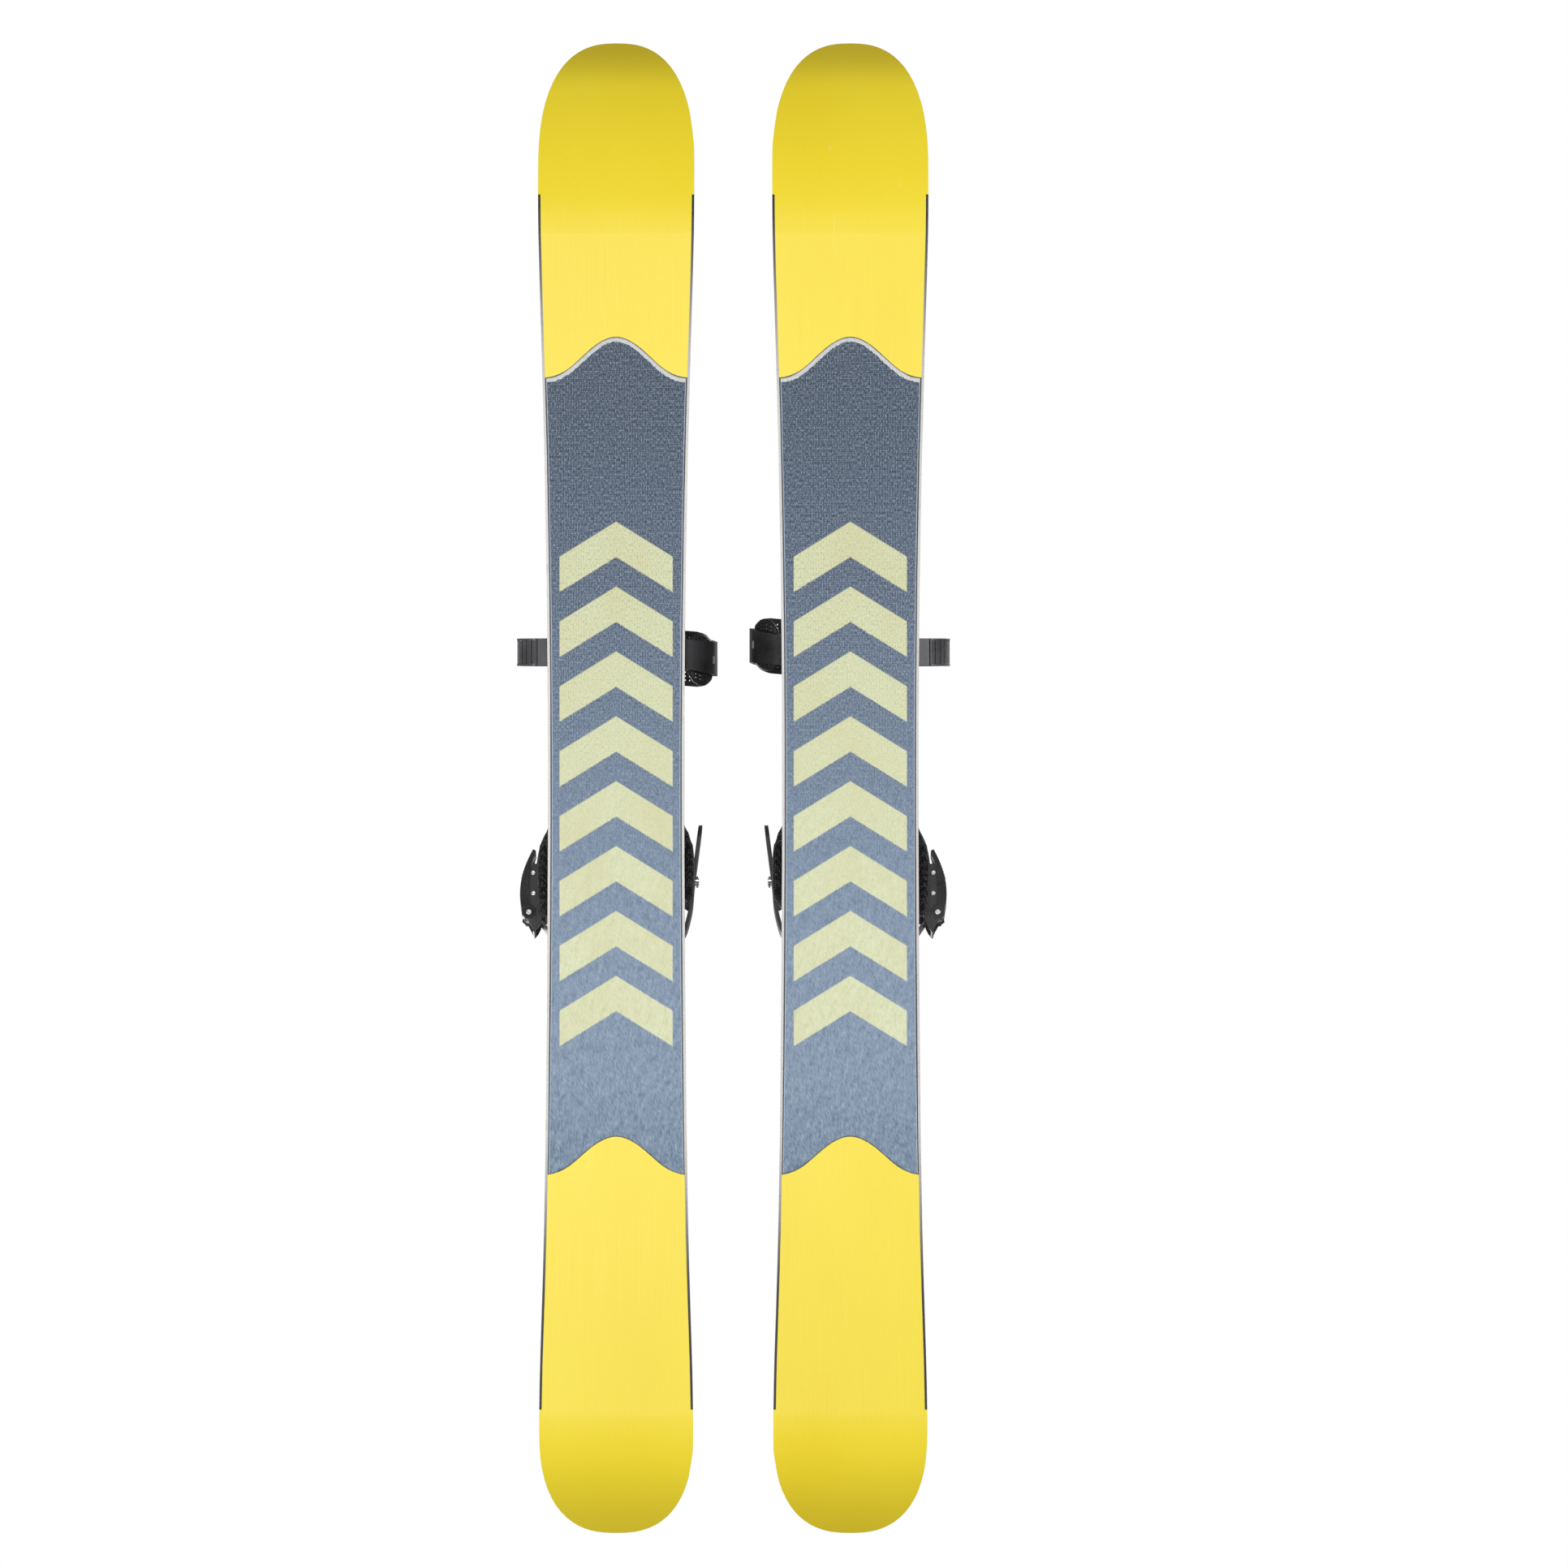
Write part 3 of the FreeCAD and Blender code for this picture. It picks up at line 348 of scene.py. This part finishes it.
def bright_steel():
    """Zinc-plated steel of screws, pins and springs."""
    p = Paint("bright_steel", Metallic=1.0)
    brushed = p.noise((1400, 1400, 90), 3)
    cloudy = p.noise((180, 180, 180), 4)
    color = p.mix(p.fit(cloudy, 0.35, 0.65), rgb(168, 168, 170), rgb(214, 213, 208))
    return p.finish(color, p.fit(brushed, 0.3, 0.7, 0.18, 0.36), p.bump(brushed, 0.00002, 0.5))


def wood():
    """Laminated core: narrow glued strips with long grain."""
    p = Paint("laminated_wood", Specular_IOR_Level=0.3)
    strip = p.math("FRACT", p.math("MULTIPLY", p.axes()[0], 1 / (14 * MM)))
    grain = p.noise((420, 6, 420), 5, 0.6)
    color = p.mix(p.fit(grain, 0.3, 0.7), rgb(196, 158, 108), rgb(226, 194, 146))
    color = p.mix(p.fit(strip, 0.0, 0.04, 0.8, 0.0), color, rgb(120, 84, 50))
    return p.finish(color, 0.6, p.bump(grain, 0.00008, 0.5))


def moulded(name, dark, light, rough, grain=1500.0, coat=0.0):
    """Moulded plastic or rubber: fine grain, faint flow marks, rubbed high spots."""
    p = Paint(name, Coat_Weight=coat, Coat_Roughness=0.08)
    pits = p.noise((grain, grain, grain), 2)
    flow = p.noise((30, 55, 30), 4, 0.6)
    rubbed = p.fit(p.noise((140, 140, 140), 5, 0.7), 0.58, 0.74)
    color = p.mix(p.fit(flow, 0.3, 0.7), dark, light)
    pale = tuple(min(1, 2.2 * c) for c in light[:3]) + (1,)
    color = p.mix(p.math("MULTIPLY", rubbed, 0.22), color, pale)
    roughness = p.fit(p.math("ADD", pits, flow), 0.7, 1.3, rough - 0.06, rough + 0.10)
    rounded = p.add("Bevel", {"Radius": 0.0005}, samples=4).outputs[0]
    return p.finish(color, roughness, p.bump(pits, 0.00005, 0.45, rounded))


def topsheet():
    """Satin topsheet: dark slate with a faint weave and sloping bands near the ends."""
    p = Paint("topsheet", Coat_Weight=0.35, Coat_Roughness=0.22)
    x, y, _ = p.axes()
    warp = p.wave(p.math("ADD", x, y), 2.4 * MM)
    weft = p.wave(p.math("SUBTRACT", x, y), 2.4 * MM)
    weave = p.math("MULTIPLY", warp, weft)
    color = p.mix(p.fit(weave, -1, 1), rgb(32, 42, 50), rgb(41, 53, 62))
    reach = p.math("ADD", p.math("ABSOLUTE", p.math("SUBTRACT", y, 0.01)),
                   p.math("MULTIPLY", p.aside(), 0.9))
    blur = 0.0006
    for low, high, ink in ((0.300, 0.318, rgb(232, 236, 200)), (0.330, 0.395, rgb(238, 212, 70)),
                           (0.407, 0.413, rgb(232, 236, 200)), (0.430, 0.478, rgb(84, 110, 130))):
        band = p.math("MULTIPLY", p.fit(reach, low, low + blur), p.fit(reach, high, high - blur))
        color = p.mix(band, color, ink)
    scuff = p.fit(p.noise((120, 14, 120), 4, 0.7), 0.66, 0.74)
    color = p.mix(p.math("MULTIPLY", scuff, 0.25), color, rgb(170, 178, 182))
    haze = p.noise((60, 30, 60), 4)
    return p.finish(color, p.fit(haze, 0.3, 0.7, 0.30, 0.46), p.bump(weave, 0.00002, 0.4))


def air_mesh():
    """Knitted spacer mesh over foam: dark yarn, with painted highlights on its knots and painted
    shade in the small openings between them.
    """
    p = Paint("air_mesh", Sheen_Weight=0.30, Sheen_Roughness=0.45, Specular_IOR_Level=0.2)
    inputs = {"Vector": p.object_place, "Scale": 1 / (1.5 * MM), "Randomness": 0.35}
    knots = p.add("TexVoronoi", inputs).outputs["Distance"]
    yarn = p.noise((2200, 2200, 2200), 2)
    cloudy = p.noise((50, 50, 50), 4)
    color = p.mix(p.fit(cloudy, 0.4, 0.7), rgb(24, 24, 26), rgb(38, 38, 41))
    # Painted highlight on the tops of the knots, and painted shade in the openings between them.
    color = p.mix(p.fit(knots, 0.34, 0.22), color, rgb(96, 96, 99))
    color = p.mix(p.fit(knots, 0.48, 0.62), color, rgb(9, 9, 10))
    height = p.math("SUBTRACT", p.math("MULTIPLY", yarn, 0.3), knots)
    return p.finish(color, 0.85, p.bump(height, 0.0004, 0.9))


PAINTS = {
    "base": running_base(),
    "steel_edges": edge_steel(),
    "core": wood(),
    "sidewalls": moulded("sidewall_plastic", rgb(22, 22, 24), rgb(40, 40, 42), 0.48),
    "topsheet": topsheet(),
    "binding_mount_plate": moulded("mount_plastic", rgb(30, 30, 32), rgb(46, 46, 49), 0.46),
    "heel_rest": moulded("rest_plastic", rgb(24, 24, 25), rgb(38, 38, 40), 0.52),
    "mount_screws": bright_steel(),
    "foot_plate": moulded("plate_plastic", rgb(38, 39, 41), rgb(56, 57, 60), 0.44),
    "foot_grip_pads": moulded("grip_rubber", rgb(20, 20, 20), rgb(33, 33, 33), 0.72, 900.0),
    "toe_inner_strap": moulded("strap_rubber", rgb(34, 34, 36), rgb(50, 50, 53), 0.33, 1200.0, 0.1),
    "toe_ladder": moulded("ladder_plastic", rgb(58, 58, 61), rgb(80, 80, 84), 0.3, 1800.0, 0.2),
    "toe_buckle_base": moulded("buckle_plastic", rgb(20, 20, 22), rgb(34, 34, 36), 0.34, 1600.0, 0.2),
    "toe_buckle_lever": moulded("lever_plastic", rgb(9, 9, 10), rgb(19, 19, 21), 0.18, 2200.0, 0.7),
}
SAME_PAINT = {
    "pivot_pin": "mount_screws", "strap_bolts": "mount_screws",
    "toe_buckle_pins_and_springs": "mount_screws", "ankle_buckle_pins_and_springs": "mount_screws",
    "ankle_inner_strap": "toe_inner_strap", "heel_strap": "toe_inner_strap",
    "ankle_ladder": "toe_ladder", "ankle_buckle_base": "toe_buckle_base",
    "ankle_buckle_lever": "toe_buckle_lever", "toe_buckle_release": "toe_buckle_base",
    "ankle_buckle_release": "toe_buckle_base", "heel_strap_keeper": "toe_buckle_base",
}


def paint(piece, material):
    piece.data.materials.clear()
    piece.data.materials.append(material)


def paint_cad_nodes():
    for name, node in frame["nodes"].items():
        kind = name.split("_", 1)[1]
        kind = SAME_PAINT.get(kind, kind)
        if kind in PAINTS:
            for slot in node.material_slots:
                slot.material = PAINTS[kind]


paint_cad_nodes()


# ---------------------------------------------------------------- stage
def world_light(seen, given):
    """White behind the object, and dimmer light from all round."""
    world = bpy.data.worlds.new("studio")
    world.use_nodes = True
    nodes, links = world.node_tree.nodes, world.node_tree.links
    shade = nodes["Background"]
    shade.inputs["Color"].default_value = (1, 1, 1, 1)
    path = nodes.new("ShaderNodeLightPath")
    strength = nodes.new("ShaderNodeMapRange")
    strength.inputs["To Min"].default_value = given
    strength.inputs["To Max"].default_value = seen
    links.new(path.outputs["Is Camera Ray"], strength.inputs["Value"])
    links.new(strength.outputs[0], shade.inputs["Strength"])
    bpy.context.scene.world = world


def area_light(name, place, goal, size, power):
    data = bpy.data.lights.new(name, "AREA")
    data.shape = "DISK"
    data.size = size
    data.energy = power
    light = bpy.data.objects.new(name, data)
    light.location = place
    light.rotation_euler = (Vector(goal) - Vector(place)).to_track_quat("-Z", "Y").to_euler()
    bpy.context.scene.collection.objects.link(light)


def floor():
    """Pale floor that only shows from above, so the bases are seen from below."""
    bpy.ops.mesh.primitive_plane_add(size=9, location=(0, 0, cad_low[2] - 0.0004))
    plane = bpy.context.object
    plane.name = "floor"
    p = Paint("floor", Specular_IOR_Level=0.2)
    shade = p.noise((3, 3, 3), 3)
    p.finish(p.mix(p.fit(shade, 0.3, 0.7), rgb(226, 226, 224), rgb(232, 232, 230)), 0.8)
    clear = p.add("BsdfTransparent").outputs[0]
    back = p.add("NewGeometry").outputs["Backfacing"]
    both = p.add("MixShader", {0: back, 1: p.shader.outputs[0], 2: clear})
    p.links.new(both.outputs[0], p.nodes["Material Output"].inputs["Surface"])
    paint(plane, p.material)
    for ray in ("visible_diffuse", "visible_glossy", "visible_transmission", "visible_shadow"):
        setattr(plane, ray, False)


def camera():
    """Square on to the bases, from below, through a long lens."""
    view_height = 1.272
    middle = (-0.0412, 0.0026)
    data = bpy.data.cameras.new("camera")
    data.lens = 400
    data.sensor_width = 36
    data.clip_end = 50
    distance = view_height * data.lens / data.sensor_width
    place = bpy.data.objects.new("camera", data)
    place.location = (*middle, -distance)
    place.rotation_euler = (0, math.pi, 0)
    bpy.context.scene.collection.objects.link(place)
    bpy.context.scene.camera = place


bpy.context.scene.view_settings.view_transform = "Standard"
world_light(1.0, 0.27)
area_light("key_below", (0.35, 0.0, -2.6), (0, 0, 0), 1.4, 28)
area_light("fill_below", (-0.9, 0.5, -2.2), (0, 0, 0), 1.4, 8)
area_light("side_below", (1.9, -0.3, -1.3), (0, 0, 0.05), 0.9, 16)
area_light("far_side_below", (-1.9, 0.3, -1.3), (0, 0, 0.05), 0.9, 16)
area_light("key_above", (1.4, -1.6, 2.6), (0, 0, 0), 1.6, 70)
area_light("fill_above", (-1.8, 1.2, 2.4), (0, 0, 0), 1.8, 40)
floor()
camera()


# ---------------------------------------------------------------- climbing skin
# Millimetres: where the cut meets the skin's sides, and how far its bell rises.
SKIN_FRONT = (332.0, 33.0)
SKIN_REAR = (-314.0, 31.0)
BELL_HALF = 56.0
BELL_FADE = 70.0            # how far from a cut its bell still bends the rows
HEM = 3.8
SKIN_BACK = 1.42            # height of the backing's face in the pocket
SKIN_FACE = 0.16            # height of the plush over the ground
SKIN_ROWS = 330
SKIN_COLUMNS = 48


def bell(x):
    return 0.5 + 0.5 * math.cos(math.pi * min(abs(x), BELL_HALF) / BELL_HALF)


def skin_half_width(y):
    """Half width of the skin at y, both in millimetres."""
    return 52.1 + y * y / (24000.0 if y > 0 else 37000.0)


def skin_mesh(side):
    """Plush sheet with rounded sides, pared down to its backing along the front cut."""
    sign = SIDES[side]
    steps = [0.0, 0.8, 2.0, 3.2, HEM, HEM + 0.5, HEM + 1.4, 6.5, 8.0]
    front, rear = SKIN_FRONT[0], SKIN_REAR[0]
    rows = [front - step for step in steps]
    length = front - steps[-1] - rear
    rows += [front - steps[-1] - length * k / SKIN_ROWS for k in range(1, SKIN_ROWS + 1)]
    columns = [math.sin(math.pi / 2 * (2 * k / SKIN_COLUMNS - 1)) for k in range(SKIN_COLUMNS + 1)]
    vertices = []
    margins = []
    for face in (True, False):
        for middle in rows:
            pull_front = max(0.0, 1 - (front - middle) / BELL_FADE) ** 1.5
            pull_rear = max(0.0, 1 - (middle - rear) / BELL_FADE) ** 1.5
            for across in columns:
                x = across * skin_half_width(middle)
                bend = bell(x)
                y = middle + (pull_front * SKIN_FRONT[1] + pull_rear * SKIN_REAR[1]) * bend
                slope = SKIN_FRONT[1] * (bell(x + 0.5) - bell(x - 0.5))
                to_cut = (front + SKIN_FRONT[1] * bend - y) / math.hypot(1, slope)
                to_side = (1 - abs(across)) * skin_half_width(middle)
                z = SKIN_BACK
                if face:
                    edge = min(to_side, to_cut, middle - rear + 0.2)
                    pile = noise.noise(Vector((x * 0.06, y * 0.025, 7 * sign)))
                    z = SKIN_FACE + 0.10 * pile + 0.5 * (1 - smoothly(edge, 0.0, 1.2))
                    z += 0.35 * (1 - smoothly(to_cut, HEM - 0.3, HEM + 0.5))
                vertices.append((sign * (HALF_STANCE + x * MM), y * MM, z * MM))
                margins.append((to_side * MM, to_cut * MM))
    width = len(columns)
    sheet = width * len(rows)
    last = len(rows) - 1
    faces = []
    for row in range(last):
        for column in range(width - 1):
            k = row * width + column
            faces.append((k, k + width, k + width + 1, k + 1))
            faces.append((k + sheet, k + sheet + 1, k + sheet + width + 1, k + sheet + width))
    rim = [row * width for row in range(last + 1)]
    rim += [last * width + column for column in range(1, width)]
    rim += [row * width + width - 1 for row in range(last - 1, -1, -1)]
    rim += [column for column in range(width - 2, 0, -1)]
    for one, two in zip(rim, rim[1:] + rim[:1]):
        faces.append((one, one + sheet, two + sheet, two))
    piece = make_mesh(f"{side}_skin_plush", vertices, faces)
    layer = piece.data.uv_layers.new(name="UVMap")
    for loop in piece.data.loops:
        layer.data[loop.index].uv = margins[loop.vertex_index]
    return piece


def add_skins():
    material = plush()
    for side in SIDES:
        piece = skin_mesh(side)
        paint(piece, material)
        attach(piece, f"{side}_ski")
        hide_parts(f"{side}_climbing_skin")


# ---------------------------------------------------------------- ankle pad
PAD_PATH = ((54.4, 24), (54.9, 44), (54.9, 66), (53.4, 80), (49.6, 92), (42.5, 104), (31, 118),
            (16, 127.5), (0, 130), (-16, 127.5), (-31, 118), (-42.5, 104), (-50, 92),
            (-53.8, 78), (-54.9, 58), (-54.6, 36))
PAD_HALF = 25.4
PAD_DEPTH = 3.6             # from the middle of the foam to either face
PAD_ROLL = 6.0              # how far the borders stand out beside the buckle
PAD_END = 14.0              # length of the rounding at either end
SWELL = 2.2                 # furthest that the stuffing may push the cover
HELD = 0.25                 # the same under the buckle and the ladder
FREE_ROUND = 52             # the hardware lies outside this radius about (0, 80)
FRAMES = 20


def pad_ring(strap, point, outward, size):
    """Points round one section of the pad, wider and rounder towards its borders."""
    ring = []
    for face, order in ((1, range(-10, 11)), (-1, range(9, -10, -1))):
        for k in order:
            w = PAD_HALF * math.sin(math.pi * k / 20)
            round_off = (1 - abs(w / (PAD_HALF + 0.4)) ** 6) ** 0.5
            rise = PAD_ROLL * smoothly(abs(w), 15.5, 19.0)
            middle = rise / 2
            reach = middle + face * (PAD_DEPTH + middle) * round_off * size
            spot = point + outward * reach
            ring.append(strap.at(spot.x, spot.y, w * (0.8 + 0.2 * size)))
    return ring


def pad_core(strap):
    samples = smooth_path(PAD_PATH, 90)
    length = samples[-1][2]
    rings = []
    for point, outward, reach in samples:
        near_end = min(reach, length - reach) / PAD_END
        size = math.sqrt(max(0.0, 1 - (1 - min(1.0, near_end)) ** 2)) * 0.9 + 0.1
        rings.append(pad_ring(strap, point, outward, size))
    return loft("ankle_pad_core", rings)


def swollen(piece, strap):
    """Cloth cover of a pad under its stuffing's pressure, held in under the strap hardware."""
    remesh = piece.modifiers.new("Remesh", "REMESH")
    remesh.mode = "VOXEL"
    remesh.voxel_size = 0.0034
    apply_modifiers(piece)
    rest = [vertex.co.copy() for vertex in piece.data.vertices]
    cloth = piece.modifiers.new("Cloth", "CLOTH")
    cloth.settings.quality = 5
    cloth.settings.mass = 0.05
    cloth.settings.tension_stiffness = 18
    cloth.settings.compression_stiffness = 6
    cloth.settings.bending_stiffness = 0.4
    cloth.settings.use_pressure = True
    cloth.settings.uniform_pressure_force = 4
    cloth.settings.effector_weights.gravity = 0
    cloth.point_cache.frame_end = FRAMES
    for step in range(1, FRAMES + 1):
        bpy.context.scene.frame_set(step)
    apply_modifiers(piece)
    bpy.context.scene.frame_set(1)
    for vertex, start in zip(piece.data.vertices, rest):
        x, s, w = strap.inside(start)
        cap = SWELL * smoothly(abs(w), 15.0, 18.5) + HELD
        if math.hypot(x, max(0.0, s - 80)) < FREE_ROUND:
            cap = SWELL
        moved = vertex.co - start
        if moved.length > cap * MM:
            moved = moved.normalized() * cap * MM
        vertex.co = start + moved
    piece.modifiers.new("Smooth", "SMOOTH").iterations = 2
    piece.modifiers.new("Subdivision", "SUBSURF").levels = 1
    apply_modifiers(piece)
    piece.data.shade_smooth()


def mirrored_copy(piece, name):
    """The same piece on the other ski."""
    mesh = piece.data.copy()
    mesh.transform(Matrix.Scale(-1, 4, (1, 0, 0)))
    mesh.flip_normals()
    copy = bpy.data.objects.new(name, mesh)
    bpy.context.scene.collection.objects.link(copy)
    return copy


def add_ankle_pads():
    strap = Strap("right", "ankle")
    cover = pad_core(strap)
    cover.name = "right_ankle_pad_cover"
    swollen(cover, strap)
    paint(cover, air_mesh())
    copy = mirrored_copy(cover, "left_ankle_pad_cover")
    for side, piece in (("right", cover), ("left", copy)):
        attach(piece, f"{side}_ankle_band")
        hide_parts(f"{side}_ankle_pad")


# ---------------------------------------------------------------- toe pad
TOE_PAD_PATH = ((-58.3, 18.8), (-65, 23), (-73, 30.8), (-76.6, 41), (-70.5, 55), (-54.5, 67.5),
                (-38.5, 74.2), (-23, 77.4), (0, 77.8), (30, 77.6))
TOE_PAD_HALF = 22.6
TOE_PAD_THICK = (2.7, 1.8)  # within the border, and at its edge
TOE_PAD_SKEW = 0.085        # how the pad slants across the foot
TOE_PAD_EDGE = ((-80, 8), (-76, 16.5), (-72, 20.6), (-66, 22.6), (40, 22.6))
TOE_PAD_CELLS, TOE_PAD_ROWS = 34, 14
TOE_PAD_FINE = 20           # samples of the path for each cell


def along_table(value, table):
    """Straight interpolation in rows of (value, result)."""
    for (low, start), (high, end) in zip(table, table[1:]):
        if value <= high:
            return start + (end - start) * (value - low) / (high - low)
    return table[-1][1]


def toe_pad_mesh(side):
    """Curved rubber pad, pierced by round holes on one half and by slots on the other."""
    strap = Strap(side, "toe")
    cells, rows = TOE_PAD_CELLS, TOE_PAD_ROWS
    fine = TOE_PAD_FINE * cells
    samples = smooth_path(TOE_PAD_PATH, fine + 1)
    length = samples[-1][2]
    vertices, faces = [], []

    def spot(u, v, face):
        """Point at u and v from 0 to 1 along and across the pad, on a face."""
        point, outward, reach = samples[min(fine, max(0, round(u * TOE_PAD_FINE * cells)))]
        near_end = min(reach, length - reach)
        half = TOE_PAD_HALF * (0.55 + 0.45 * math.sqrt(1 - (1 - min(1.0, near_end / 22.0)) ** 2))
        half = min(half, along_table(point.x, TOE_PAD_EDGE))
        thick = TOE_PAD_THICK[0 if 0.04 < v < 0.96 else 1] / 2
        place = point + outward * face * thick
        w = SIDES[side] * (half * (2 * v - 1) - TOE_PAD_SKEW * place.x)
        vertices.append(strap.at(place.x, place.y, w))
        return len(vertices) - 1

    corner = {(i, j, face): spot(i / cells, j / rows, face)
              for i in range(cells + 1) for j in range(rows + 1) for face in (1, -1)}
    for i in range(cells):
        for j in range(rows):
            square = [(i + 1, j), (i + 1, j + 1), (i, j + 1), (i, j)]
            solid = i in (0, cells - 1) or j in (0, rows - 1) or j == rows // 2
            holes = {}
            for face in (1, -1):
                outer = [corner[a, b, face] for a, b in square]
                if solid:
                    faces.append(tuple(outer))
                    continue
                reach_u, reach_v = (0.30, 0.30) if j > rows // 2 else (0.20, 0.44)
                ring = []
                for k in range(8):
                    turn = math.radians(45 * k - 22.5)
                    ring.append(spot((i + 0.5 + reach_u * math.cos(turn)) / cells,
                                     (j + 0.5 + reach_v * math.sin(turn)) / rows, face))
                holes[face] = ring
                for k in range(4):
                    before, here = outer[k - 1], outer[k]
                    a, b, c = ring[(2 * k + 7) % 8], ring[2 * k], ring[2 * k + 1]
                    faces += [(before, here, b, a), (here, c, b)]
            if holes:
                for k in range(8):
                    n = (k + 1) % 8
                    faces.append((holes[1][k], holes[1][n], holes[-1][n], holes[-1][k]))
    rim = [(i, 0) for i in range(cells)] + [(cells, j) for j in range(rows)]
    rim += [(i, rows) for i in range(cells, 0, -1)] + [(0, j) for j in range(rows, 0, -1)]
    for one, two in zip(rim, rim[1:] + rim[:1]):
        faces.append((corner[(*one, 1)], corner[(*two, 1)], corner[(*two, -1)], corner[(*one, -1)]))
    return make_mesh(f"{side}_toe_pad_rubber", vertices, faces)


def add_toe_pads():
    material = moulded("pad_rubber", rgb(22, 22, 23), rgb(36, 36, 38), 0.55, 1100.0)
    for side in SIDES:
        piece = toe_pad_mesh(side)
        paint(piece, material)
        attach(piece, f"{side}_toe_band")
        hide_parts(f"{side}_toe_pad")


# ---------------------------------------------------------------- finger grips on the levers
LEVER_LINE = ((-12.5, 16.4), (-8, 17.5), (-2, 18), (7, 17.5), (16, 15.7), (24, 13), (30, 10.4),
              (35.5, 7.6))
GRIP = (11.4, 32.1, 8.7)    # from l to l, half width
GRIP_FOOT = 0.75            # height of the inlay's underside in the lever
GRIP_RIDGES = 9
ANKLE_BUCKLE = (59.2, 46.0)  # (x, s) of the buckles' origins in their straps' frames
TOE_BUCKLE = (2.0, 83.9)


def buckle_spot(strap, kind, l, w, h):
    """Row-frame point of a buckle's own (l, w, h), in millimetres."""
    if kind == "ankle":
        return strap.at(ANKLE_BUCKLE[0] + h, ANKLE_BUCKLE[1] + l, w)
    return strap.at(TOE_BUCKLE[0] - l, TOE_BUCKLE[1] + h, w)


def grip_mesh(side, kind):
    """Rubber inlay in the lever's recess, with ridges across it."""
    strap = Strap(side, kind)
    line = [(point, outward * -1) for point, outward, _ in smooth_path(LEVER_LINE, 400)
            if GRIP[0] <= point.x <= GRIP[1]]
    rings = []
    for k, (point, outward) in enumerate(line):
        part = k / (len(line) - 1)
        crest = 0.5 + 0.5 * math.cos(2 * math.pi * GRIP_RIDGES * part)
        lift = 1.3 + 0.25 + 0.55 * crest * smoothly(min(part, 1 - part), 0.0, 0.05)
        ring = []
        for w, reach in ((-GRIP[2], GRIP_FOOT), (-GRIP[2], lift - 0.4), (-GRIP[2] + 0.5, lift),
                         (0.0, lift + 0.12), (GRIP[2] - 0.5, lift), (GRIP[2], lift - 0.4),
                         (GRIP[2], GRIP_FOOT)):
            spot = point + outward * reach
            ring.append(buckle_spot(strap, kind, spot.x, w, spot.y))
        rings.append(ring)
    return loft(f"{side}_{kind}_lever_grip", rings)


def add_grips():
    material = moulded("finger_rubber", rgb(62, 62, 65), rgb(92, 92, 96), 0.6, 1300.0)
    for side in SIDES:
        for kind in ("toe", "ankle"):
            piece = grip_mesh(side, kind)
            paint(piece, material)
            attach(piece, f"{side}_{kind}_lever")


add_skins()
add_ankle_pads()
add_toe_pads()
add_grips()
